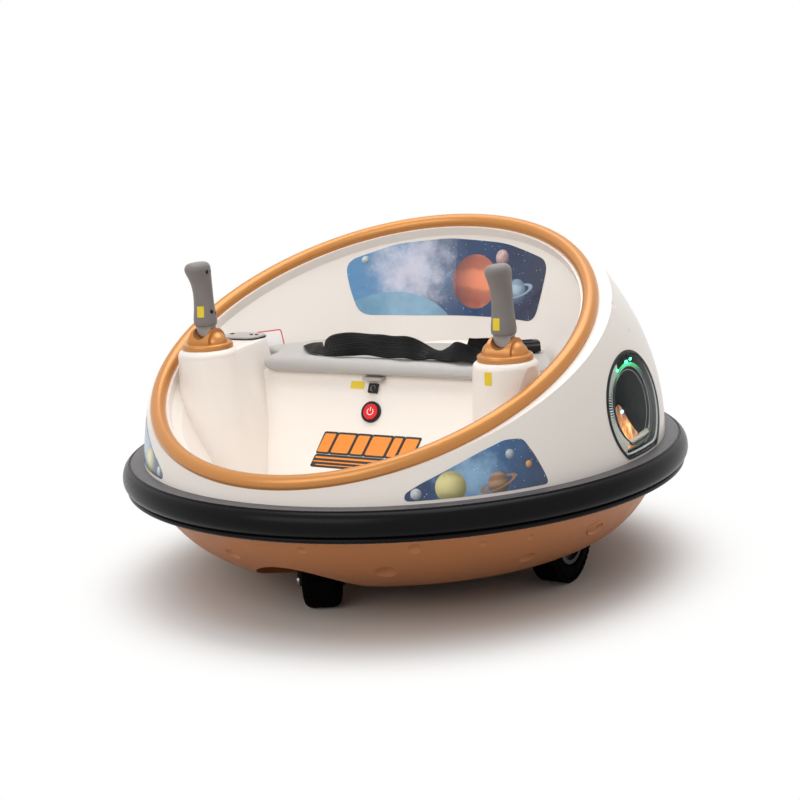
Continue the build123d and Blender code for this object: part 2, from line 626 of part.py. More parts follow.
def make_lever_base(side):
    """Round foot, two arched cheeks with a slot between them, and a bulging ear on each."""
    disc = upright(Circle(BASE_RADIUS), 0.0, BASE_THICK)
    disc = fillet(disc.edges().group_by(Axis.Z)[-1], BASE_THICK / 2)
    middle = BASE_THICK - 1.0
    cheek_out = SLOT_HALF + CHEEK_THICK
    above = Pos(0, 0, middle + 50.0) * Box(100.0, 100.0, 100.0)
    barrel = (Pos(0, 0, middle) * crosswise(BARREL_RADIUS, 2 * cheek_out)) & above
    for end in (1, -1):
        ear = Pos(end * (cheek_out - 2.0), 0, middle) * Sphere(EAR_RADIUS)
        outer = Pos(end * (cheek_out + 25.0), 0, middle + 25.0) * Box(50.0, 50.0, 50.0)
        barrel += ear & outer
    pivot = LEVER_PIVOT_Z - PILLAR_TOP_Z
    barrel -= trough(SLOT_HALF, pivot - SLOT_FLOOR, 2 * BARREL_RADIUS)
    pin = Pos(0, 0, pivot) * crosswise(LEVER_PIN_RADIUS, 2 * cheek_out)
    return Pos(side * PILLAR_X, PILLAR_Y, PILLAR_TOP_Z) * (disc + barrel + pin)


def make_lever(side):
    """Foot on the pivot pin, with its tongue in the grip above it."""
    at = Pos(side * PILLAR_X, PILLAR_Y, LEVER_PIVOT_Z)
    width, depth = SHANK
    tongue = Pos(0, 0, SHANK_TOP / 2) * Box(width, depth, SHANK_TOP)
    low = GRIP_ROWS[0][0]
    foot = trough(SLOT_HALF - FOOT_CLEARANCE, -FOOT_BELOW, FOOT_DEPTH)
    foot -= Pos(0, 0, low + 50.0) * Box(100.0, 100.0, 100.0)
    foot = foot + tongue - crosswise(LEVER_PIN_RADIUS + RUNNING_GAP, 2 * SLOT_HALF)
    grip = loft([Pos(0, y, z) * Ellipse(a, b).face() for z, a, b, y in GRIP_ROWS])
    grip = fillet(grip.edges().group_by(Axis.Z)[-1], GRIP_HEAD_ROUND)
    grip = fillet(grip.edges().group_by(Axis.Z)[0], GRIP_FOOT_ROUND)
    for z, y in GRIP_SCREWS:
        grip -= Pos(-side * 13.0, y, z) * crosswise(GRIP_SCREW_RADIUS, 2 * GRIP_SCREW_DEPTH)
    return at * foot, at * (grip - tongue)


# ------------------------------------------------------------------ small parts
def on_seat_front(z):
    """Frame on the seat's sloping front wall at height z, facing out."""
    lean = math.radians(SEAT_FRONT_SLOPE)
    y = SEAT_EDGE_Y - (SEAT_DECK_Z - z) * math.tan(lean)
    return Plane(origin=(0, y, z), x_dir=(1, 0, 0), z_dir=(0, -math.cos(lean), math.sin(lean)))


def make_power_switch():
    frame = on_seat_front(SEAT_DECK_Z - 43.0)
    bezel = frame * Pos(0, 0, 1.5) * (Cylinder(13.5, 3.0) - Cylinder(10.3, 3.0))
    button = frame * Pos(0, 0, 2.0) * Cylinder(10.0, 4.0)
    return bezel, button


def make_socket():
    frame = on_seat_front(SEAT_DECK_Z - 16.0)
    return frame * Pos(LATCH_X, 0, 2.5) * (Box(12.0, 12.0, 5.0) - Pos(0, 0, 1.5) * Cylinder(4.0, 3.0))


def make_latch():
    """Lip that stands out from the seat's front wall, under the pad's edge."""
    low, high = SEAT_DECK_Z - 5.0, SEAT_DECK_Z - 1.0
    lip = Pos(LATCH_X, SEAT_EDGE_Y - 4.0, (low + high) / 2) * Box(28.0, 18.0, high - low)
    return lip - seat_block()


def make_control_panel():
    top = PILLAR_TOP_Z - ARMREST_STEP
    width, depth = PANEL_SIZE
    plan = Pos(PANEL_X, ARMREST_END_Y + 3.0 - depth / 2) * RectangleRounded(width, depth, depth / 2 - 4.0)
    plate = upright(plan, top, top + 4.0)
    return fillet(plate.edges().group_by(Axis.Z)[-1], 1.5)


def lamp_prism(side, inset=0.0):
    """Prism along X through the side of the dome, on the lamp's outline."""
    low = BUMPER_TOP_Z + LAMP_FLAT + inset
    oval = Pos(LAMP_Y, LAMP_Z) * Ellipse(LAMP_HALF_WIDTH - inset, LAMP_HALF_HEIGHT - inset)
    outline = oval & Pos(LAMP_Y, low + 100.0) * Rectangle(400.0, 200.0)
    outline = fillet(outline.vertices().group_by(Axis.Y)[0], LAMP_CORNER)
    return Pos(side * 200.0, 0, 0) * extrude(Plane.YZ * outline, 200.0, dir=(side, 0, 0))


def make_lamp(side):
    """Gasket that carries the lamp, clear lens flush with the dome and dark bowl behind it."""
    opening = lamp_prism(side, LAMP_GASKET)
    gasket = (dome(1.0) - dome(-LAMP_DEPTH)) & (lamp_prism(side) - opening)
    lens = (dome(LAMP_PROUD) - dome(LAMP_PROUD - LAMP_WALL)) & opening
    reflector = (dome(LAMP_WALL - LAMP_DEPTH) - dome(-LAMP_DEPTH)) & opening
    return gasket, lens, reflector


PAD_TOP_Z = SEAT_DECK_Z + PAD_THICK
STRAP_LIE = STRAP_THICK / 2 + STRAP_REST
RIGHT_STRAP = (            # near edge, far edge: x, y, height above the pad
    ((-150.0, 6.0, STRAP_LIE), (-142.0, 42.0, STRAP_LIE)),
    ((-104.0, -36.0, STRAP_LIE), (-112.0, 0.0, 4.0)),
    ((-60.0, -52.0, STRAP_LIE), (-80.0, -30.0, 25.0)),
    ((-30.0, -48.0, 3.5), (-38.0, -22.0, 27.0)),
    ((12.0, -50.0, 2.0), (2.0, -24.0, 25.0)),
    ((42.0, -52.0, 2.0), (32.0, -26.0, 25.0)),
    ((66.0, -50.0, STRAP_LIE), (64.0, -14.0, 8.0)),
    ((84.0, -50.0, STRAP_LIE), (84.0, -18.0, 12.0)),
    ((104.0, -52.0, STRAP_LIE), (100.0, -24.0, 20.0)),
    ((124.0, -54.0, STRAP_LIE), (122.0, -28.0, 16.0)),
    ((142.0, -52.0, STRAP_LIE), (146.0, -20.0, STRAP_LIE)),
)
LEFT_STRAP = (
    ((98.0, -2.0, 3.0), (116.0, -24.0, 26.0)),
    ((122.0, 8.0, 2.6), (142.0, -14.0, 23.0)),
    ((140.0, 24.0, STRAP_LIE), (158.0, -2.0, 14.0)),
)
BUCKLE_AT = (160.0, 24.0)
BUCKLE = (30.0, 40.0, 12.0)


def ribbon(rows):
    """Webbing ruled between stations, each given by the place of its two edges."""
    middles = [(Vector(*near) + Vector(*far)) / 2 for near, far in rows]
    faces = []
    for index, (near, far) in enumerate(rows):
        along = middles[min(index + 1, len(rows) - 1)] - middles[max(index - 1, 0)]
        near, far = Vector(*near), Vector(*far)
        half = along.cross(far - near).normalized() * (STRAP_THICK / 2)
        corners = (near + half, far + half, far - half, near - half)
        faces.append(Pos(0, 0, PAD_TOP_Z) * make_face(Polyline(*corners, close=True)))
    return loft(faces, ruled=True)


def make_belts():
    x, y = BUCKLE_AT
    buckle = Pos(x + 8.0, y + 10.0, PAD_TOP_Z + STRAP_REST + BUCKLE[2] / 2) * Rot(0, 0, 35) * Box(*BUCKLE)
    buckle = fillet(buckle.edges(), 2.0)
    return ribbon(LEFT_STRAP), ribbon(RIGHT_STRAP), buckle


def make_battery():
    length, width, height = 70.0, 100.0, 94.0
    flat = HULL_COLLAR_RADIUS - HULL_ROWS[-1][1]
    low = HULL_ROWS[-1][0] + WALL
    return Pos(0, flat - width, low + height / 2) * Box(length, width, height)


# ------------------------------------------------------------------ build
def build():
    nodes = {"shell_upper": make_shell(), "tub": make_tub(), "bumper_ring": make_bumper(), "hull_lower": make_hull()}
    nodes["rim_front"], nodes["rim_rear"] = make_rim()
    nodes["seat_pad"] = make_seat_pad()
    for name, end, swivel in CASTER_ENDS:
        parts = caster_parts(end, swivel)
        for piece, shape in zip(("mount", "fork", "axle", "wheel"), parts):
            nodes[f"caster_{piece}_{name}"] = shape
    for name, side in SIDES:
        nodes[f"drive_tyre_{name}"], nodes[f"drive_hub_{name}"] = make_drive_wheel(side)
        nodes[f"gearbox_{name}"] = make_gearbox(side)
        nodes[f"lever_base_{name}"] = make_lever_base(side)
        nodes[f"lever_foot_{name}"], nodes[f"lever_grip_{name}"] = make_lever(side)
        gasket, lens, reflector = make_lamp(side)
        nodes[f"lamp_bezel_{name}"], nodes[f"lamp_lens_{name}"], nodes[f"lamp_bowl_{name}"] = gasket, lens, reflector
    nodes["power_bezel"], nodes["power_button"] = make_power_switch()
    nodes["charge_socket"] = make_socket()
    nodes["seat_latch"] = make_latch()
    nodes["control_panel"] = make_control_panel()
    nodes["belt_left"], nodes["belt_right"], nodes["belt_buckle"] = make_belts()
    nodes["battery"] = make_battery()
    return nodes


os.makedirs("parts", exist_ok=True)
for node, shape in build().items():
    export_step(shape, f"parts/{node}.step")
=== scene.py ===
"""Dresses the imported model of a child's ride-on bumper car, lights it and frames it.

Everything is in metres in the part's own frame: the origin on the floor under the bumper's
centre, +Z up, -Y the way the rider faces and +X the rider's left.
"""
import logging
import math
from dataclasses import dataclass, field
from enum import Enum
from typing import Callable, Iterable, Sequence

import bmesh
import bpy
from mathutils import Matrix, Vector
from mathutils.bvhtree import BVHTree


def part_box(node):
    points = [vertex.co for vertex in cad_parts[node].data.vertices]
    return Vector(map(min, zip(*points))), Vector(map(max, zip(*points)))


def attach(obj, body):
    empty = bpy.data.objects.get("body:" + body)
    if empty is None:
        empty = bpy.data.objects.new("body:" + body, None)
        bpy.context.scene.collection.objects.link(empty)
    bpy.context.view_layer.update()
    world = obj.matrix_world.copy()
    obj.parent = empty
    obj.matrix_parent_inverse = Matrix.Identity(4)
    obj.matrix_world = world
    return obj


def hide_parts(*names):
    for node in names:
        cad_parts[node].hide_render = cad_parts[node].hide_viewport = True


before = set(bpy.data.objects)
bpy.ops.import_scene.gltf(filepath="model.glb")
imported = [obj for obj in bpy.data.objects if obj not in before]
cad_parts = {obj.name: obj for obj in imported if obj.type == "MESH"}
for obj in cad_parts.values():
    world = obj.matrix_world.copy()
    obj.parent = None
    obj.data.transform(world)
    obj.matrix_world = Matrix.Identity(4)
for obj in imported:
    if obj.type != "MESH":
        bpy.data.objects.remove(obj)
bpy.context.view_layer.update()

LOG = logging.getLogger("bumper_car")
MM = 0.001
BODY = "body"
DOME_REACH = 0.33           # radius at which lengths round the dome and hull are measured
FRONT_SLOPE = 26.0          # how far the seat front leans back, in degrees
FLOOR_REACH = 30.0          # half the width of the floor
RAY_START = 0.03            # how far before a surface a ray towards it starts
CORNER_SHARE = 0.48         # most of a side that the rounding of one corner may take
LEVEL = 1e-9                # edges that rise less than this are level
PLATE_CREASE, TYRE_CREASE, RING_CREASE = 35.0, 50.0, 40.0   # sharper edges stay sharp, degrees
LAMP_MIDDLE = 0.325         # how far out the lamps' inside stands
COAT_ROUGHNESS = 0.08
GRAIN_DEPTH = 0.0006
Colour = tuple[float, float, float]
Point = tuple[float, float]
Outline = Sequence[Point]
Socket = bpy.types.NodeSocket
Piece = bpy.types.Object
Rays = Callable[[float, float], tuple[Vector, Vector]]


class Side(Enum):
    """The rider's left and right, with the sign of X."""

    LEFT = 1
    RIGHT = -1

    @property
    def word(self) -> str:
        """Name as the nodes use it."""
        return self.name.lower()


# ---------------------------------------------------------------- node trees
class Sheet:
    """Adds and links shader nodes in the tree of one material or world."""

    def __init__(self, owner: bpy.types.Material | bpy.types.World) -> None:
        """Takes over the owner's tree and empties it.

        Args:
            owner: the material or world whose nodes are built.
        """
        owner.use_nodes = True
        self.tree = owner.node_tree
        self.tree.nodes.clear()

    def add(self, kind: str, **settings: object) -> bpy.types.Node:
        """Adds a node and sets its properties.

        Args:
            kind: the node's type name without the ShaderNode prefix.
            settings: properties set on the node.

        Returns:
            The new node.
        """
        node = self.tree.nodes.new("ShaderNode" + kind)
        for name, value in settings.items():
            setattr(node, name, value)
        return node

    def put(self, target: Socket, value: object) -> None:
        """Links a socket, or sets its constant, whichever the value is.

        Args:
            target: the input.
            value: a socket or a constant.
        """
        if isinstance(value, bpy.types.NodeSocket):
            self.tree.links.new(value, target)
        elif isinstance(value, tuple) and len(value) == 3 and len(target.default_value) == 4:
            target.default_value = (*value, 1.0)
        else:
            target.default_value = value

    def feed(self, node: bpy.types.Node, values: dict[str | int, object]) -> bpy.types.Node:
        """Links or sets a node's inputs by name or number.

        Args:
            node: the node.
            values: what each input gets.

        Returns:
            The same node.
        """
        for name, value in values.items():
            self.put(node.inputs[name], value)
        return node

    def math(self, operation: str, *values: object) -> Socket:
        """Adds a Math node.

        Args:
            operation: its operation.
            values: sockets or numbers for its inputs.

        Returns:
            The result's socket.
        """
        node = self.add("Math", operation=operation)
        return self.feed(node, dict(enumerate(values))).outputs[0]

    def ramp(
        self, value: object, low: float, high: float, start: float = 0.0, end: float = 1.0
    ) -> Socket:
        """Maps low..high smoothly to start..end.

        Args:
            value: what is mapped.
            low: gives start.
            high: gives end.
            start: result at low.
            end: result at high.

        Returns:
            The result's socket.
        """
        values = {"Value": value, "From Min": low, "From Max": high, "To Min": start, "To Max": end}
        return self.feed(
            self.add("MapRange", interpolation_type="SMOOTHSTEP"), values
        ).outputs["Result"]

    def blend(self, share: object, under: object, over: object) -> Socket:
        """Mixes two colours: share 0 shows the one under, 1 the one over."""
        node = self.add("Mix", data_type="RGBA")
        return self.feed(node, {0: share, 6: under, 7: over}).outputs[2]

    def noise(self, where: object, scale: float, detail: float, rough: float = 0.5) -> Socket:
        """Adds a noise texture and returns its value."""
        values = {"Vector": where, "Scale": scale, "Detail": detail, "Roughness": rough}
        return self.feed(self.add("TexNoise"), values).outputs["Fac"]

    def cells(self, where: Socket, scale: float, **settings: object) -> bpy.types.Node:
        """Adds a Voronoi texture."""
        return self.feed(self.add("TexVoronoi", **settings), {"Vector": where, "Scale": scale})

    def place(self) -> Socket:
        """Object coordinates."""
        return self.add("TexCoord").outputs["Object"]

    def apart(self, vector: Socket) -> bpy.types.Node:
        """Splits a vector."""
        return self.feed(self.add("SeparateXYZ"), {0: vector})

    def distance(self, where: Socket, point: Sequence[float]) -> Socket:
        """Distance of a place from a fixed point."""
        node = self.add("VectorMath", operation="DISTANCE")
        return self.feed(node, {0: where, 1: tuple(point)}).outputs["Value"]

    def bump(self, height: object, strength: float, distance: float) -> Socket:
        """Adds a Bump node and returns its normal."""
        values = {"Height": height, "Strength": strength, "Distance": distance}
        return self.feed(self.add("Bump"), values).outputs["Normal"]

    def looked_at(self) -> Socket:
        """1 for camera, glossy and transmission rays, 0 for all others.

        Returns:
            The result's socket.
        """
        path = self.add("LightPath").outputs
        seen = self.math("MAXIMUM", path["Is Camera Ray"], path["Is Glossy Ray"])
        return self.math("MAXIMUM", seen, path["Is Transmission Ray"])

    def surface(self, shader: Socket) -> None:
        """Ends a material's tree in this shader."""
        self.feed(self.add("OutputMaterial"), {"Surface": shader})


@dataclass(frozen=True)
class Surface:
    """A named finish whose material is built once."""

    name: str

    def material(self) -> bpy.types.Material:
        """Builds the material, or finds it.

        Returns:
            The finish as a Blender material.
        """
        made = bpy.data.materials.get(self.name)
        if made is None:
            made = bpy.data.materials.new(self.name)
            sheet = Sheet(made)
            shader = sheet.add("BsdfPrincipled")
            sheet.feed(shader, self.look(sheet))
            sheet.surface(shader.outputs[0])
        return made

    def look(self, sheet: Sheet) -> dict[str, object]:
        """What the shader's sockets get, in each kind of finish its own way.

        Args:
            sheet: the material's tree.

        Returns:
            Constants and sockets by the name of the shader's input.
        """
        raise NotImplementedError


@dataclass(frozen=True)
class Finish(Surface):
    """A moulded, painted or rubber finish with fine mottling and grain."""

    colour: Colour
    roughness: float
    metallic: float = 0.0
    coat: float = 0.0
    specular: float = 0.5
    mottle: float = 0.04
    mottle_size: float = 30.0
    grain: float = 0.05
    grain_size: float = 900.0
    rough_spread: float = 0.12

    def look(self, sheet: Sheet) -> dict[str, object]:
        """Mottled colour and gloss, and a fine grain.

        Args:
            sheet: the material's tree.

        Returns:
            What each input of the shader gets.
        """
        place = sheet.place()
        darker = tuple(part * (1.0 - self.mottle * 2.0) for part in self.colour)
        patches = sheet.noise(place, self.mottle_size, 3.0)
        haze = sheet.noise(place, self.mottle_size * 4.0, 4.0)
        low, high = (self.roughness * (1.0 + sign * self.rough_spread) for sign in (-1, 1))
        grain = sheet.noise(place, self.grain_size, 2.0)
        return {
            "Base Color": sheet.blend(patches, darker, self.colour),
            "Roughness": sheet.ramp(haze, 0.3, 0.7, low, high),
            "Metallic": self.metallic,
            "Coat Weight": self.coat,
            "Coat Roughness": COAT_ROUGHNESS,
            "Specular IOR Level": self.specular,
            "Normal": sheet.bump(grain, self.grain, GRAIN_DEPTH),
        }


CREAM = Finish(
    "cream_moulding", (0.885, 0.825, 0.768), 0.30, specular=0.35, mottle=0.003, mottle_size=5.0,
    grain=0.012, rough_spread=0.03,
)
GOLD = Finish(
    "gold_paint", (0.56, 0.234, 0.058), 0.30, metallic=0.33, mottle=0.015, grain_size=2600.0,
    rough_spread=0.05,
)
COPPER = Finish(
    "copper_paint", (0.55, 0.205, 0.07), 0.42, metallic=0.2, mottle=0.03, mottle_size=9.0,
    grain=0.06,
)
BUMPER = Finish(
    "bumper_rubber", (0.0035, 0.0033, 0.0037), 0.27, specular=0.10, mottle=0.08, grain=0.08,
    grain_size=1500.0, rough_spread=0.05,
)
# Lighter grey for the ring's flat top than for the rest of the rubber: painted sheen where the top
# faces the light above.
PAINTED_FLANGE_SHEEN = Finish(
    "bumper_flange", (0.10, 0.091, 0.097), 0.45, mottle=0.06, grain=0.10, grain_size=1300.0,
    rough_spread=0.05,
)
GREY = Finish(
    "grey_moulding", (0.215, 0.198, 0.19), 0.42, specular=0.25, mottle=0.02, grain=0.14,
    grain_size=1900.0,
)
TYRE = Finish(
    "hard_tyre", (0.0025, 0.0025, 0.0025), 0.8, specular=0.02, mottle=0.15, grain=0.12,
    grain_size=700.0,
)
BLACK = Finish("black_moulding", (0.010, 0.010, 0.0105), 0.45, specular=0.2, grain=0.08)
FOOT_GREY = Finish("lever_foot_grey", (0.36, 0.34, 0.33), 0.3, coat=0.3, mottle=0.02)
PALE_GREY = Finish("pale_grey_moulding", (0.42, 0.40, 0.385), 0.38, mottle=0.03, grain=0.06)
WHEEL_GREY = Finish("hub_moulding", (0.02, 0.02, 0.021), 0.5, grain=0.08)
STEEL = Finish("zinc_plate", (0.55, 0.55, 0.56), 0.3, metallic=1.0, mottle=0.05, grain=0.03)
RED = Finish(
    "red_key", (0.74, 0.006, 0.010), 0.35, coat=0.12, specular=0.3, mottle=0.02, grain=0.03
)
WHITE_INK = Finish("white_ink", (0.88, 0.86, 0.85), 0.4, mottle=0.01)
BLACK_INK = Finish("black_ink", (0.012, 0.011, 0.011), 0.4, mottle=0.02)
ORANGE_INK = Finish("orange_ink", (0.88, 0.27, 0.018), 0.35, mottle=0.02, coat=0.1)
RED_INK = Finish("red_ink", (0.70, 0.04, 0.035), 0.35)
YELLOW_INK = Finish("yellow_label", (0.82, 0.60, 0.008), 0.35, coat=0.2, mottle=0.03)
BOWL = Finish("lamp_bowl_dark", (0.0018, 0.0018, 0.002), 0.5, specular=0.05, mottle=0.1, grain=0.0)
SLEEVE = Finish("socket_moulding", (0.40, 0.38, 0.345), 0.35, coat=0.2, mottle=0.03)
LAMP_EDGE = Finish("lamp_edge", (0.50, 0.52, 0.50), 0.12, coat=0.6, mottle=0.02, grain=0.0)
LAMP_RIB = Finish("lamp_rib", (0.72, 0.71, 0.66), 0.2, coat=0.5, mottle=0.02)
# Cream of the lens's thick foot: painted reflection.
PAINTED_FOOT_REFLECTION = Finish("lamp_cream", (0.62, 0.55, 0.42), 0.2, coat=0.5)


@dataclass(frozen=True)
class Pad(Surface):
    """Grey vinyl with a fine leather grain."""

    colour: Colour = (0.47, 0.455, 0.44)
    grain_scale: float = 620.0

    def look(self, sheet: Sheet) -> dict[str, object]:
        """Vinyl, darker and duller in its creases.

        Args:
            sheet: the material's tree.

        Returns:
            What each input of the shader gets.
        """
        place = sheet.place()
        cells = sheet.cells(place, self.grain_scale, feature="DISTANCE_TO_EDGE")
        creases = sheet.ramp(cells.outputs["Distance"], 0.0, 0.25)
        faded, deep = (tuple(part * share for part in self.colour) for share in (0.93, 0.7))
        shade = sheet.blend(sheet.noise(place, 18.0, 3.0), faded, self.colour)
        # The grain's creases are coloured darker.
        crease_darkening = sheet.math("MULTIPLY", sheet.math("SUBTRACT", 1.0, creases), 0.25)
        return {
            "Base Color": sheet.blend(crease_darkening, shade, deep),
            "Roughness": sheet.ramp(creases, 0.0, 1.0, 0.5, 0.34),
            "Normal": sheet.bump(creases, 0.16, 0.0003),
        }


@dataclass(frozen=True)
class Webbing(Surface):
    """Black ribbed webbing, woven along its own UV map."""

    across: float = 9.0
    along: float = 18.0
    thread_dark: Colour = (0.0008, 0.0008, 0.0008)
    thread_light: Colour = (0.010, 0.0095, 0.0095)

    def look(self, sheet: Sheet) -> dict[str, object]:
        """Weave from two crossed waves.

        Args:
            sheet: the material's tree.

        Returns:
            What each input of the shader gets.
        """
        split = sheet.apart(sheet.add("UVMap", uv_map="weave").outputs[0])
        warp = sheet.math("MULTIPLY", split.outputs[0], self.across * math.tau)
        weft = sheet.math("SINE", sheet.math("MULTIPLY", split.outputs[1], self.along * math.tau))
        ribs = sheet.math("SINE", sheet.math("ADD", warp, sheet.math("MULTIPLY", weft, 0.9)))
        half = sheet.math("SINE", sheet.math("MULTIPLY", warp, 0.5))
        picks = sheet.math("MULTIPLY", weft, half)
        height = sheet.math("ADD", sheet.math("MULTIPLY", ribs, 0.5), picks)
        base = sheet.blend(sheet.ramp(height, -1.2, 1.2), self.thread_dark, self.thread_light)
        fuzz = sheet.math("MULTIPLY", sheet.noise(sheet.place(), 1400.0, 2.0), 0.2)
        return {
            "Base Color": sheet.blend(fuzz, base, self.thread_light),
            "Roughness": 0.5,
            "Specular IOR Level": 0.10,
            "Normal": sheet.bump(height, 0.8, 0.0007),
        }


@dataclass(frozen=True)
class Clear(Surface):
    """Clear moulded plastic, thin enough to bend the view little."""

    colour: Colour = (0.93, 0.96, 0.96)
    roughness: float = 0.008
    bending: float = 1.07

    def look(self, sheet: Sheet) -> dict[str, object]:
        """Clear plastic with a faint haze.

        Args:
            sheet: the material's tree.

        Returns:
            What each input of the shader gets.
        """
        haze = sheet.noise(sheet.place(), 60.0, 2.0)
        low, high = self.roughness * 0.7, self.roughness * 1.3
        return {
            "Base Color": self.colour,
            "Transmission Weight": 1.0,
            "IOR": self.bending,
            "Roughness": sheet.ramp(haze, 0.3, 0.7, low, high),
        }


@dataclass(frozen=True)
class Glow(Surface):
    """A small lit part."""

    colour: Colour
    strength: float = 6.0

    def look(self, sheet: Sheet) -> dict[str, object]:
        """Evenly lit plastic.

        Args:
            sheet: the material's tree.

        Returns:
            What each input of the shader gets.
        """
        return {
            "Base Color": self.colour,
            "Roughness": 0.3,
            "Emission Color": self.colour,
            "Emission Strength": self.strength,
        }


GREEN_GLOW = Glow("green_spot", (0.05, 1.0, 0.35))
BLUE_GLOW = Glow("blue_spot", (0.25, 0.85, 1.0))


@dataclass(frozen=True)
class LitPlastic(Surface):
    """Plastic that glows round one point."""

    colour: Colour
    light: Colour
    point: tuple[float, float, float]
    reach: float
    strength: float
    streaks: bool = False
    coat: float = 0.1

    def look(self, sheet: Sheet) -> dict[str, object]:
        """Plastic with its glow, and dark and pale streaks where it has them.

        Args:
            sheet: the material's tree.

        Returns:
            What each input of the shader gets.
        """
        place = sheet.place()
        near = sheet.ramp(sheet.distance(place, self.point), self.reach, 0.0)
        scale, least = 40.0, 0.6
        if self.streaks:
            drawn = sheet.add("VectorMath", operation="MULTIPLY")
            place = sheet.feed(drawn, {0: place, 1: (1.0, 1.0, 0.4)}).outputs[0]
            scale, least = 120.0, 0.05
        patches = sheet.noise(place, scale, 4.0, 0.6)
        share = sheet.math("MULTIPLY", near, sheet.ramp(patches, 0.35, 0.65, least, 1.0))
        tone = sheet.blend(patches, self.colour, tuple(min(1.0, p * 2.2) for p in self.colour))
        # Dark and pale streaks, used only for the lamp's lower patch: painted reflection.
        if self.streaks:
            tone = sheet.blend(sheet.ramp(patches, 0.30, 0.46), (0.03, 0.006, 0.003), tone)
            tone = sheet.blend(sheet.ramp(patches, 0.52, 0.66), tone, (0.95, 0.72, 0.30))
        return {
            "Base Color": tone,
            "Roughness": 0.15,
            "Coat Weight": self.coat,
            "Emission Color": self.light,
            "Emission Strength": sheet.math("MULTIPLY", share, self.strength),
        }


# ---------------------------------------------------------------- printed film
@dataclass(frozen=True)
class Disc:
    """A planet on a printed film, in metres from the film's lower left corner."""

    x: float
    y: float
    radius: float
    dark: Colour
    light: Colour
    bands: float = 0.0
    ring: bool = False
    lit_from: Point = (-0.5, 0.6)


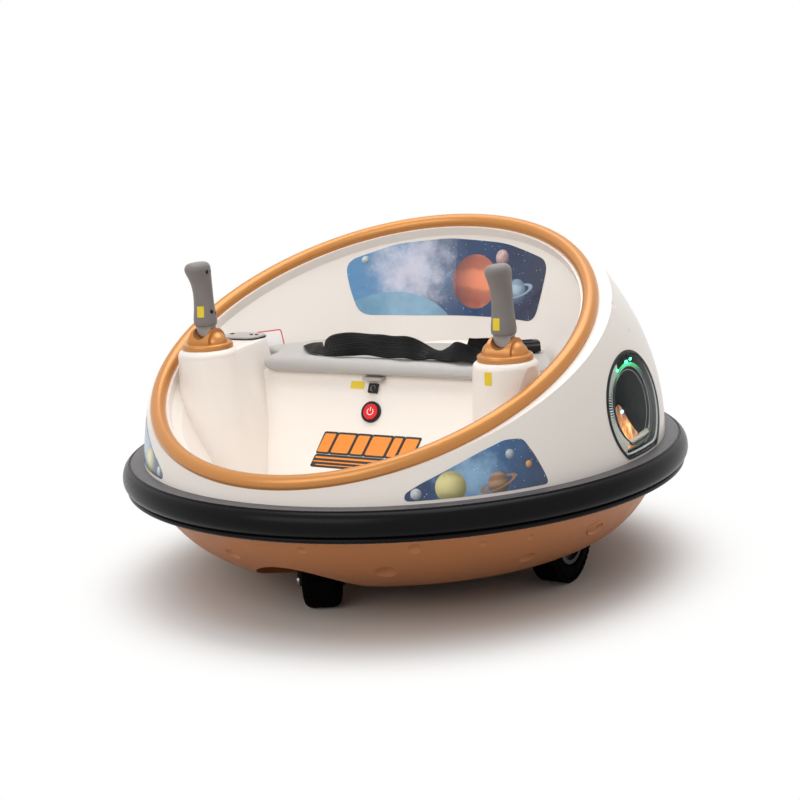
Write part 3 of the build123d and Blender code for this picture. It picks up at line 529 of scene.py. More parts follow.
@dataclass(frozen=True)
class StarFilm(Surface):
    """Printed night sky: a graded ground, a cloud of light, stars and plain planets."""

    size: Point
    ground: tuple[Colour, Colour, Colour]
    cloud: Colour
    cloud_at: Point
    cloud_reach: float
    discs: tuple[Disc, ...]
    star_scale: float = 260.0
    star_colour: Colour = (0.85, 0.9, 0.95)

    def look(self, sheet: Sheet) -> dict[str, object]:
        """The print, over the film's UV map.

        Args:
            sheet: the material's tree.

        Returns:
            What each input of the shader gets.
        """
        split = sheet.apart(sheet.add("UVMap", uv_map="film").outputs[0]).outputs
        spot = sheet.add("CombineXYZ")
        for axis in (0, 1):
            sheet.put(spot.inputs[axis], sheet.math("MULTIPLY", split[axis], self.size[axis]))
        at = spot.outputs[0]
        colour = self.stars(sheet, at, self.sky(sheet, at, split[0]))
        for disc in self.discs:
            colour = self.planet(sheet, colour, at, disc)
        return {"Base Color": colour, "Roughness": 0.24, "Coat Weight": 0.3}

    def sky(self, sheet: Sheet, at: Socket, along: Socket) -> Socket:
        """Paints ground and cloud.

        Args:
            sheet: the tree.
            at: place on the film in metres.
            along: 0 to 1 across the film.

        Returns:
            The colour so far.
        """
        drift = sheet.math("SUBTRACT", sheet.noise(at, 14.0, 5.0, 0.6), 0.5)
        lean = sheet.math("ADD", along, sheet.math("MULTIPLY", drift, 0.9))
        colour = sheet.blend(sheet.ramp(lean, 0.0, 0.5), self.ground[0], self.ground[1])
        colour = sheet.blend(sheet.ramp(lean, 0.5, 1.05), colour, self.ground[2])
        wisps = sheet.math("SUBTRACT", 0.5, sheet.noise(at, 34.0, 6.0, 0.65))
        torn = sheet.math("MULTIPLY", wisps, self.cloud_reach * 1.6)
        far = sheet.math("ADD", sheet.distance(at, (*self.cloud_at, 0.0)), torn)
        near = sheet.ramp(far, self.cloud_reach, 0.0)
        return sheet.blend(sheet.math("MULTIPLY", near, 0.85), colour, self.cloud)

    def stars(self, sheet: Sheet, at: Socket, under: Socket) -> Socket:
        """Scatters small and a few larger stars over what is there.

        Args:
            sheet: the tree.
            at: place on the film.
            under: the colour so far.

        Returns:
            The colour with the stars on it.
        """
        for scale, size, share in (
            (self.star_scale, 0.16, 0.62), (self.star_scale * 0.45, 0.09, 0.8)
        ):
            cells = sheet.cells(at, scale)
            chance = sheet.feed(sheet.add("SeparateColor"), {0: cells.outputs["Color"]})
            chosen = sheet.math("GREATER_THAN", chance.outputs[0], share)
            shape = sheet.ramp(cells.outputs["Distance"], size, size * 0.3)
            under = sheet.blend(sheet.math("MULTIPLY", shape, chosen), under, self.star_colour)
        return under

    def planet(self, sheet: Sheet, under: Socket, at: Socket, disc: Disc) -> Socket:
        """Paints one planet over what is there.

        Args:
            sheet: the tree.
            under: the colour so far.
            at: place on the film.
            disc: the planet.

        Returns:
            The colour with the planet on it.
        """
        radius, edge = disc.radius, 0.0004
        far = sheet.distance(at, (disc.x, disc.y, 0.0))
        inside = sheet.ramp(far, radius + edge, radius - edge)
        across, up = disc.lit_from
        bright = sheet.distance(at, (disc.x + across * radius, disc.y + up * radius, 0.0))
        shade = sheet.ramp(bright, radius * 1.9, radius * 0.2)
        blotches = sheet.noise(at, 1.6 / radius, 5.0, 0.62)
        if disc.bands:
            level = sheet.math("SUBTRACT", sheet.apart(at).outputs["Y"], disc.y)
            level = sheet.math("MULTIPLY", level, disc.bands / radius)
            wave = sheet.math("ADD", level, sheet.math("MULTIPLY", blotches, 2.4))
            blotches = sheet.ramp(sheet.math("SINE", wave), -1.0, 1.0, 0.25, 0.8)
        tone = sheet.math("MULTIPLY", shade, sheet.ramp(blotches, 0.25, 0.75, 0.55, 1.0))
        colour = sheet.blend(inside, under, sheet.blend(tone, disc.dark, disc.light))
        return self.ring(sheet, colour, at, disc, inside) if disc.ring else colour

    def ring(self, sheet: Sheet, under: Socket, at: Socket, disc: Disc, inside: Socket) -> Socket:
        """Paints a tilted ring, hidden above the planet's middle.

        Args:
            sheet: the tree.
            under: the colour so far.
            at: place on the film.
            disc: the planet.
            inside: mask of the planet's disc.

        Returns:
            The colour with the ring on it.
        """
        turned = sheet.feed(sheet.add("Mapping", vector_type="TEXTURE"), {
            "Vector": at,
            "Location": (disc.x, disc.y, 0.0),
            "Rotation": (0.0, 0.0, 0.3),
            "Scale": (disc.radius * 1.9, disc.radius * 0.5, 1.0),
        }).outputs[0]
        reach = sheet.distance(turned, (0.0, 0.0, 0.0))
        band = sheet.math("MULTIPLY", sheet.ramp(reach, 0.72, 0.76), sheet.ramp(reach, 1.0, 0.96))
        above = sheet.math("GREATER_THAN", sheet.apart(turned).outputs[1], 0.0)
        shown = sheet.math("SUBTRACT", 1.0, sheet.math("MULTIPLY", inside, above))
        tone = tuple(0.6 * a + 0.35 * b for a, b in zip(disc.light, disc.dark))
        return sheet.blend(sheet.math("MULTIPLY", band, shown), under, tone)


# ---------------------------------------------------------------- meshes
def linked(name: str, data: bpy.types.ID) -> Piece:
    """Makes an object of this data and links it to the scene.

    Args:
        name: the object's name.
        data: its mesh, light or camera.

    Returns:
        The object.
    """
    made = bpy.data.objects.new(name, data)
    bpy.context.scene.collection.objects.link(made)
    return made


def turned_to(piece: Piece, way: Vector) -> Piece:
    """Flips a mesh whose faces look against this direction.

    Args:
        piece: the mesh object.
        way: where most faces should look.

    Returns:
        The same object.
    """
    piece.data.update()
    if sum((face.normal for face in piece.data.polygons), Vector()).dot(way) < 0:
        piece.data.flip_normals()
    return piece


def ring_faces(
    rows: int, around: int, first: int = 0, closed: bool = False
) -> list[tuple[int, ...]]:
    """Quads between neighbouring rows of points, each row a closed ring.

    Args:
        rows: number of rows.
        around: points in each row.
        first: number of the first row's first point.
        closed: joins the last row to the first.

    Returns:
        Vertex numbers of each face.
    """
    faces = []
    for row in range(rows if closed else rows - 1):
        low, high = first + row * around, first + (row + 1) % rows * around
        for i in range(around):
            j = (i + 1) % around
            faces.append((low + i, high + i, high + j, low + j))
    return faces


def make_object(
    name: str, vertices: Sequence[Sequence[float]], faces: Sequence[Sequence[int]], finish: Surface,
    uv: Outline | None = None, uv_name: str = "film"
) -> Piece:
    """Makes a mesh object with one finish.

    Args:
        name: the piece's name.
        vertices: places in the part's frame.
        faces: vertex numbers of each face.
        finish: what it is made of.
        uv: one UV pair per vertex.
        uv_name: name of the UV map.

    Returns:
        The linked object.
    """
    mesh = bpy.data.meshes.new(name)
    mesh.from_pydata([tuple(v) for v in vertices], [], [tuple(f) for f in faces])
    mesh.materials.append(finish.material())
    if uv is not None:
        layer = mesh.uv_layers.new(name=uv_name)
        for loop in mesh.loops:
            layer.data[loop.index].uv = uv[loop.vertex_index]
    for face in mesh.polygons:
        face.use_smooth = True
    return linked(name, mesh)


def place_on(piece: Piece, body: str, replaces: Iterable[str] = ()) -> Piece:
    """Hands a finished piece to the frame.

    Args:
        piece: the piece.
        body: the CAD body that it rides on.
        replaces: CAD nodes that it stands for.

    Returns:
        The piece.
    """
    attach(piece, body)
    if replaces:
        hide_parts(*replaces)
    LOG.info("%s rides on %s, %d faces", piece.name, body, len(piece.data.polygons))
    return piece


def joined(name: str, pieces: Sequence[Piece]) -> Piece:
    """Joins several mesh objects into one.

    Args:
        name: the joined piece's name.
        pieces: the objects; they are used up.

    Returns:
        The joined object.
    """
    with bpy.context.temp_override(
        active_object=pieces[0], selected_editable_objects=list(pieces), object=pieces[0]
    ):
        bpy.ops.object.join()
    pieces[0].name = name
    return pieces[0]


def faced_outward(piece: Piece) -> Piece:
    """Recalculates a closed mesh's normals.

    Args:
        piece: the mesh object.

    Returns:
        The same object.
    """
    work = bmesh.new()
    work.from_mesh(piece.data)
    bmesh.ops.recalc_face_normals(work, faces=work.faces)
    work.to_mesh(piece.data)
    work.free()
    return piece


def rounded(corners: Outline, radius: float, steps: int = 6) -> list[Point]:
    """Rounds a polygon's corners.

    Args:
        corners: the polygon, in metres.
        radius: how far along each side a corner's curve starts.
        steps: pieces in each curve.

    Returns:
        The rounded outline.
    """
    outline = []
    for index, corner in enumerate(corners):
        here = Vector(corner)
        before, after = Vector(corners[index - 1]), Vector(corners[(index + 1) % len(corners)])
        start, end = (
            here + side.normalized() * min(radius, side.length * CORNER_SHARE)
            for side in (before - here, after - here)
        )
        for step in range(steps + 1):
            t = step / steps
            point = start * (1 - t) ** 2 + here * 2 * t * (1 - t) + end * t * t
            outline.append((point.x, point.y))
    return outline


def resampled(outline: Outline, count: int) -> list[Vector]:
    """Spreads points evenly round a closed outline.

    Args:
        outline: the closed outline.
        count: how many points.

    Returns:
        The points.
    """
    points = [Vector(p) for p in outline]
    points.append(points[0])
    lengths = [0.0]
    for a, b in zip(points, points[1:]):
        lengths.append(lengths[-1] + (b - a).length)
    result, at = [], 0
    for index in range(count):
        goal = lengths[-1] * index / count
        while lengths[at + 1] < goal:
            at += 1
        span = lengths[at + 1] - lengths[at] or 1.0
        result.append(points[at].lerp(points[at + 1], (goal - lengths[at]) / span))
    return result


def smooth_through(rows: Sequence[Vector], steps: int) -> list[Vector]:
    """Curve through points by Catmull and Rom's rule.

    Args:
        rows: the points.
        steps: pieces between two neighbours.

    Returns:
        Points along the curve.
    """
    result = []
    for index in range(len(rows) - 1):
        a, b, c, d = (rows[max(0, min(len(rows) - 1, index + k))] for k in (-1, 0, 1, 2))
        for step in range(steps):
            t = step / steps
            square, cube = (2 * a - 5 * b + 4 * c - d) * t * t, (3 * b - a - 3 * c + d) * t ** 3
            result.append(0.5 * ((2 * b) + (c - a) * t + square + cube))
    result.append(rows[-1])
    return result


def tree_of(*nodes: str) -> BVHTree:
    """Search tree over CAD nodes' faces.

    Args:
        nodes: names of the nodes.

    Returns:
        The tree.
    """
    vertices, faces = [], []
    for node in nodes:
        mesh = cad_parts[node].data
        start = len(vertices)
        vertices += [v.co.copy() for v in mesh.vertices]
        faces += [[start + i for i in face.vertices] for face in mesh.polygons]
    return BVHTree.FromPolygons(vertices, faces)


@dataclass(frozen=True)
class Flat:
    """Plane from which a flat shape is laid on a surface."""

    origin: Vector
    normal: Vector

    def axes(self) -> tuple[Vector, Vector]:
        """Horizontal and rising directions in the plane."""
        across = Vector((0, 0, 1)).cross(self.normal).normalized()
        return across, self.normal.cross(across).normalized()

    def __call__(self, u: float, v: float) -> tuple[Vector, Vector]:
        """Start and direction of the ray at (u, v)."""
        across, rise = self.axes()
        return self.origin + across * u + rise * v + self.normal * RAY_START, -self.normal


@dataclass(frozen=True)
class Round:
    """Upright cylinder round the middle from which a shape is laid inward on the dome or hull."""

    reach: float = 0.42
    scale: float = DOME_REACH

    def __call__(self, u: float, v: float) -> tuple[Vector, Vector]:
        """Start and direction of the ray at arc length u from -Y and height v.

        Args:
            u: arc length round the middle.
            v: height.

        Returns:
            Both as vectors.
        """
        turn = u / self.scale
        out = Vector((math.sin(turn), -math.cos(turn), 0.0))
        return out * self.reach + Vector((0, 0, v)), -out


@dataclass(frozen=True)
class Film:
    """A thin shape laid on a surface along rays."""

    name: str
    outline: Outline
    rays: Rays
    surface: BVHTree
    finish: Surface
    lift: float = 0.0003
    rings: int = 12
    around: int = 96

    def points(self, flat: Iterable[Vector]) -> list[Vector]:
        """Places on the surface for places on the flat shape.

        Args:
            flat: places on the flat shape.

        Returns:
            Places in the part's frame.
        """
        result = []
        for spot in flat:
            start, way = self.rays(spot.x, spot.y)
            place, normal, _, _ = self.surface.ray_cast(start, way)
            if place is None:
                place, normal, _, _ = self.surface.find_nearest(start)
            result.append(place + (normal if normal.dot(way) < 0 else -normal) * self.lift)
        return result

    def build(self) -> Piece:
        """Builds the film.

        Returns:
            Its mesh object, not yet riding on anything.
        """
        edge = resampled(self.outline, self.around)
        middle = sum(edge, Vector((0.0, 0.0))) / len(edge)
        flat = [middle] + [
            middle.lerp(p, k / self.rings) for k in range(1, self.rings + 1) for p in edge
        ]
        faces = [(0, 1 + i, 1 + (i + 1) % self.around) for i in range(self.around)]
        faces += ring_faces(self.rings, self.around, 1)
        left, down = min(p.x for p in edge), min(p.y for p in edge)
        wide, high = max(p.x for p in edge) - left, max(p.y for p in edge) - down
        uv = [((p.x - left) / wide, (p.y - down) / high) for p in flat]
        made = make_object(self.name, self.points(flat), faces, self.finish, uv)
        return turned_to(made, -self.rays(middle.x, middle.y)[1])


@dataclass(frozen=True)
class Strip:
    """Raised band between two outlines over a surface, domed across its width."""

    name: str
    inner: Outline
    outer: Outline
    rays: Rays
    surface: BVHTree
    finish: Surface
    lift: Point
    crown: float
    steps: int = 8
    around: int = 120

    def build(self) -> Piece:
        """Builds the band.

        Returns:
            Its mesh object.
        """
        rows = []
        inner, outer = resampled(self.inner, self.around), resampled(self.outer, self.around)
        for step in range(self.steps + 1):
            t = step / self.steps
            rise = (self.lift[1] - self.lift[0]) * t
            lift = self.lift[0] + rise + self.crown * math.sin(math.pi * t)
            film = Film(self.name, (), self.rays, self.surface, self.finish, lift)
            rows.append(film.points(a.lerp(b, t) for a, b in zip(inner, outer)))
        faces = ring_faces(len(rows), self.around)
        made = make_object(self.name, [p for row in rows for p in row], faces, self.finish)
        return turned_to(made, -self.rays(inner[0].x, inner[0].y)[1])


@dataclass(frozen=True)
class Plate:
    """Straight-sided moulding with eased edges: an outline between two heights."""

    name: str
    outline: Outline
    low: float
    high: float
    finish: Surface
    ease: float = 0.0006

    def build(self, where: Matrix | None = None) -> Piece:
        """Builds the moulding.

        Args:
            where: its place in the part's frame.

        Returns:
            Its mesh object.
        """
        work = bmesh.new()
        base = [work.verts.new((x, y, self.low)) for x, y in self.outline]
        face = work.faces.new(base)
        pushed = bmesh.ops.extrude_face_region(work, geom=[face])
        raised = [v for v in pushed["geom"] if isinstance(v, bmesh.types.BMVert)]
        bmesh.ops.translate(work, vec=(0, 0, self.high - self.low), verts=raised)
        bmesh.ops.recalc_face_normals(work, faces=work.faces)
        if self.ease:
            flat = [e for e in work.edges if abs(e.verts[0].co.z - e.verts[1].co.z) < LEVEL]
            bmesh.ops.bevel(
                work, geom=flat, offset=self.ease, segments=3, profile=0.5, affect="EDGES",
                clamp_overlap=True,
            )
        work.transform(where or Matrix.Identity(4))
        mesh = bpy.data.meshes.new(self.name)
        work.to_mesh(mesh)
        work.free()
        mesh.materials.append(self.finish.material())
        mesh.set_sharp_from_angle(angle=math.radians(PLATE_CREASE))
        for side in mesh.polygons:
            side.use_smooth = True
        return linked(self.name, mesh)


def front_normal() -> Vector:
    """Direction that the seat front faces."""
    lean = math.radians(FRONT_SLOPE)
    return Vector((0, -math.cos(lean), math.sin(lean)))


def in_metres(*points: Point) -> list[Point]:
    """Points given in millimetres, in metres."""
    return [(a * MM, b * MM) for a, b in points]


def circle(
    radius: float, count: int = 32, x: float = 0.0, y: float = 0.0, tall: float = 1.0
) -> list[Point]:
    """Points round a circle, or an oval tall times as high."""
    turns = (math.tau * i / count for i in range(count))
    return [(x + radius * math.cos(a), y + radius * tall * math.sin(a)) for a in turns]


def box_outline(
    wide: float, high: float, radius: float, x: float = 0.0, y: float = 0.0
) -> list[Point]:
    """Rounded rectangle about (x, y)."""
    a, b = wide / 2, high / 2
    return rounded(((x - a, y - b), (x + a, y - b), (x + a, y + b), (x - a, y + b)), radius)


def facing(place: Vector, normal: Vector) -> Matrix:
    """Matrix that stands local Z along a normal at a place."""
    return Matrix.Translation(place) @ normal.to_track_quat("Z", "Y").to_matrix().to_4x4()


@dataclass
class Repeat:
    """Geometry Nodes tree that sets one element at every point, turned as the points say."""

    name: str
    spots: list[tuple[Vector, Matrix]] = field(default_factory=list)

    def tree(self) -> bpy.types.NodeTree:
        """Builds the node group once, with its named inputs.

        Returns:
            The node group.
        """
        made = bpy.data.node_groups.get("set_on_points")
        if made:
            return made
        made = bpy.data.node_groups.new("set_on_points", "GeometryNodeTree")
        face = made.interface
        for name, kind in (
            ("Points", "Geometry"), ("Element", "Object"), ("Finish", "Material"), ("Size", "Float")
        ):
            face.new_socket(name, in_out="INPUT", socket_type="NodeSocket" + kind)
        face.new_socket("Result", in_out="OUTPUT", socket_type="NodeSocketGeometry")
        given, info, turn, euler, put, real, paint, out = (
            made.nodes.new(kind) for kind in (
                "NodeGroupInput", "GeometryNodeObjectInfo", "GeometryNodeInputNamedAttribute",
                "FunctionNodeEulerToRotation", "GeometryNodeInstanceOnPoints",
                "GeometryNodeRealizeInstances", "GeometryNodeSetMaterial", "NodeGroupOutput",
            )
        )
        turn.data_type = "FLOAT_VECTOR"
        turn.inputs["Name"].default_value = "turn"
        for source, target in (
            (given.outputs["Element"], info.inputs["Object"]),
            (turn.outputs["Attribute"], euler.inputs["Euler"]),
            (given.outputs["Points"], put.inputs["Points"]),
            (info.outputs["Geometry"], put.inputs["Instance"]),
            (euler.outputs[0], put.inputs["Rotation"]),
            (given.outputs["Size"], put.inputs["Scale"]),
            (put.outputs[0], real.inputs[0]),
            (real.outputs[0], paint.inputs["Geometry"]),
            (given.outputs["Finish"], paint.inputs["Material"]),
            (paint.outputs[0], out.inputs["Result"]),
        ):
            made.links.new(source, target)
        return made

    def build(self, element: Piece, finish: Surface) -> Piece:
        """Sets the element at every spot and makes the result a plain mesh.

        Args:
            element: the repeated mesh, at the origin; it is used up.
            finish: the finish of all copies.

        Returns:
            One mesh object with every copy.
        """
        mesh = bpy.data.meshes.new(self.name + "_points")
        mesh.from_pydata([spot for spot, _ in self.spots], [], [])
        turns = mesh.attributes.new("turn", "FLOAT_VECTOR", "POINT")
        for index, (_, turn) in enumerate(self.spots):
            turns.data[index].vector = turn.to_euler()
        holder = linked(self.name + "_points", mesh)
        modifier = holder.modifiers.new("repeat", "NODES")
        modifier.node_group = self.tree()
        values = {"Element": element, "Finish": finish.material(), "Size": 1.0}
        for item in modifier.node_group.interface.items_tree:
            if item.in_out == "INPUT" and item.name in values:
                modifier[item.identifier] = values[item.name]
        graph = bpy.context.evaluated_depsgraph_get()
        made = linked(self.name, bpy.data.meshes.new_from_object(holder.evaluated_get(graph)))
        for used in (holder, element):
            bpy.data.objects.remove(used)
        return made


# ---------------------------------------------------------------- sub-assemblies
@dataclass
class Seat:
    """Grey cushion with its lap strap and buckle."""

    pad_top: float = 277.0 * MM
    strap_thick: float = 1.9 * MM
    remesh: float = 0.005
    pressure: float = 4.0
    sink: float = 0.72
    narrow: float = 0.988
    lower: float = 0.93
    most_moved: float = 0.004
    held_below: float = 0.006
    margin: float = 0.0002
    well_side: float = 0.150
    well_edge: float = 0.045
    well_front: float = -0.046
    well_run: float = 0.062
    crumple: float = 0.0024
    softness: float = 0.5
    softenings: int = 6
    frames: int = 20

    RIGHT_ROWS = (
        ((-150, 6, 1.3), (-142, 42, 1.3)), ((-104, -36, 1.3), (-112, 0, 4)),
        ((-60, -52, 1.3), (-80, -30, 25)), ((-30, -48, 3.5), (-38, -22, 27)),
        ((12, -50, 2), (2, -24, 25)), ((42, -52, 2), (32, -26, 25)),
        ((66, -50, 1.3), (64, -14, 8)), ((84, -50, 1.3), (84, -18, 12)),
        ((104, -52, 1.3), (100, -24, 20)), ((124, -54, 1.3), (122, -28, 16)),
        ((142, -52, 1.3), (146, -20, 1.3)),
    )
    LEFT_ROWS = (
        ((98, -2, 3), (116, -24, 26)), ((122, 8, 2.6), (142, -14, 23)),
        ((140, 24, 1.3), (158, -2, 14)),
    )

    def cushion(self) -> Piece:
        """Puffs the pad up as cloth under slight pressure, its underside held.

        Returns:
            The cushion.
        """
        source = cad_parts["seat_pad"]
        mesh = source.data.copy()
        pad = linked("cushion", mesh)
        low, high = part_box("seat_pad")
        middle = (low + high) / 2
        for vertex in mesh.vertices:
            vertex.co.x = middle.x + (vertex.co.x - middle.x) * self.narrow
            vertex.co.z = low.z + (vertex.co.z - low.z) * self.lower
        mesh.materials.clear()
        mesh.materials.append(Pad("pad_vinyl").material())
        remesh = pad.modifiers.new("remesh", "REMESH")
        remesh.mode = "VOXEL"
        remesh.voxel_size = self.remesh
        self.apply(pad)
        before = [v.co.copy() for v in pad.data.vertices]
        self.puff(pad, low.z)
        for vertex, start in zip(pad.data.vertices, before):
            move = vertex.co - start
            if move.length > self.most_moved:
                vertex.co = start + move * (self.most_moved / move.length)
            top = self.pad_top - self.margin
            vertex.co.z = min(max(vertex.co.z, low.z + self.margin), top)
            vertex.co.x = min(max(vertex.co.x, low.x), high.x)
            vertex.co.y = min(max(vertex.co.y, low.y), high.y)
        self.scoop(pad, low.z)
        smooth = pad.modifiers.new("soften", "SMOOTH")
        smooth.factor, smooth.iterations = self.softness, self.softenings
        division = pad.modifiers.new("finer", "SUBSURF")
        division.levels = division.render_levels = 1
        self.apply(pad)
        for face in pad.data.polygons:
            face.use_smooth = True
        place_on(pad, BODY, ["seat_pad"])
        return pad

    def scoop(self, pad: Piece, floor: float) -> None:
        """Sinks the middle behind the front roll and between the side bolsters.

        Args:
            pad: the cushion.
            floor: height of its underside.
        """
        def ease(value: float) -> float:
            """Smooth step from 0 to 1."""
            value = min(max(value, 0.0), 1.0)
            return value * value * (3.0 - 2.0 * value)

        for vertex in pad.data.vertices:
            share = ease((self.well_side - abs(vertex.co.x)) / self.well_edge)
            share *= ease((vertex.co.y - self.well_front) / self.well_run)
            vertex.co.z = floor + (vertex.co.z - floor) * (1.0 - self.sink * share)

    def puff(self, pad: Piece, floor: float) -> None:
        """Runs the cloth and applies it.

        Args:
            pad: the cushion.
            floor: height of its underside.
        """
        held = pad.vertex_groups.new(name="held")
        low = [v.index for v in pad.data.vertices if v.co.z < floor + self.held_below]
        held.add(low, 1.0, "REPLACE")
        cloth = pad.modifiers.new("cloth", "CLOTH")
        settings = cloth.settings
        settings.quality = 6
        settings.use_pressure = True
        settings.uniform_pressure_force = self.pressure
        settings.vertex_group_mass = "held"
        settings.effector_weights.gravity = 0.0
        settings.tension_stiffness = settings.compression_stiffness = 25.0
        settings.bending_stiffness = 2.0
        for number in range(1, self.frames + 1):
            bpy.context.scene.frame_set(number)
        self.apply(pad)
        bpy.context.scene.frame_set(1)

    def apply(self, piece: Piece) -> None:
        """Replaces a piece's mesh by what its modifiers make of it.

        Args:
            piece: the mesh object.
        """
        graph = bpy.context.evaluated_depsgraph_get()
        result = bpy.data.meshes.new_from_object(piece.evaluated_get(graph))
        piece.modifiers.clear()
        piece.vertex_groups.clear()
        piece.data = result

    def strap(self, name: str, rows: Sequence[Sequence[Sequence[float]]], node: str) -> Piece:
        """Sweeps one smooth ribbon through its rows.

        Args:
            name: the piece's name.
            rows: near and far edge of the ribbon, in millimetres, the height above the pad.
            node: the CAD node it replaces.

        Returns:
            The ribbon.
        """
        def spot(point: Sequence[float]) -> Vector:
            """Place of a point given in millimetres."""
            return Vector((point[0] * MM, point[1] * MM, self.pad_top + point[2] * MM))

        near = smooth_through([spot(row[0]) for row in rows], 10)
        far = smooth_through([spot(row[1]) for row in rows], 10)
        across, vertices, uv = 14, [], []
        run, previous = 0.0, (near[0] + far[0]) / 2
        ring = 2 * (across + 1)
        for index, (a, b) in enumerate(zip(near, far)):
            centre = (a + b) / 2
            run += (centre - previous).length
            previous = centre
            ahead = (near[min(index + 1, len(near) - 1)] + far[min(index + 1, len(far) - 1)]) / 2
            behind = (near[max(index - 1, 0)] + far[max(index - 1, 0)]) / 2
            way = (ahead - behind).normalized()
            up = way.cross(b - a).normalized()
            up = up if up.z > 0 else -up
            wide = (b - a).length
            for side in (1, -1):
                for k in range(across + 1):
                    t = (k if side == 1 else across - k) / across
                    edge = 1.0 - abs(2 * t - 1) ** 8 * 0.7
                    fold = math.sin(math.pi * t) * math.sin(run * 58.0)
                    fold += 0.45 * math.sin(run * 131.0 + 4.0 * t)
                    sag = up * self.crumple * fold
                    vertices.append(a.lerp(b, t) + up * side * self.strap_thick / 2 * edge + sag)
                    uv.append((t, run / wide))
        faces = ring_faces(len(near), ring)
        last = (len(near) - 1) * ring
        faces.append(tuple(range(ring)))
        faces.append(tuple(last + k for k in reversed(range(ring))))
        made = make_object(name, vertices, faces, Webbing("belt_webbing"), uv, "weave")
        return place_on(faced_outward(made), BODY, [node])

    def buckle(self) -> None:
        """Side-release buckle: a socket with two windows and the prongs that show in them."""
        place = Matrix.Translation(Vector((168, 34, 277.4)) * MM)
        turn = place @ Matrix.Rotation(math.radians(35), 4, "Z")
        shell = in_metres(
            (-14.5, -3), (14.5, -3), (14.5, 17), (9.5, 19.5), (-9.5, 19.5), (-14.5, 17)
        )
        tongue = in_metres((-12, -19.5), (12, -19.5), (13, -8), (11, -2), (-11, -2), (-13, -8))
        shapes = [
            ("buckle_socket", rounded(shell, 3 * MM), 0.4, 11.4, 1.4),
            ("buckle_tongue", rounded(tongue, 2.5 * MM), 1.6, 9.6, 1.2),
        ]
        for side in (1, -1):
            corners = ((11.6, 0), (14.9, 2), (14.9, 9), (11.6, 13))
            prong = rounded(in_metres(*((side * x, y) for x, y in corners))[::side], 1.2 * MM)
            shapes.append(("buckle_prong", prong, 3, 8.6, 0.8))
        for k in range(3):
            rib = box_outline(14 * MM, 1.3 * MM, 0.5 * MM, 0.0, (12 + 2.4 * k) * MM)
            shapes.append(("buckle_rib", rib, 11.2, 11.9, 0.3))
        parts = [
            Plate(name, outline, low * MM, high * MM, BLACK, ease * MM).build(turn)
            for name, outline, low, high, ease in shapes
        ]
        place_on(joined("buckle", parts), BODY, ["belt_buckle"])

    def build(self) -> None:
        """Builds cushion, straps and buckle."""
        self.cushion()
        self.strap("strap_right", self.RIGHT_ROWS, "belt_right")
        self.strap("strap_left", self.LEFT_ROWS, "belt_left")
        self.buckle()


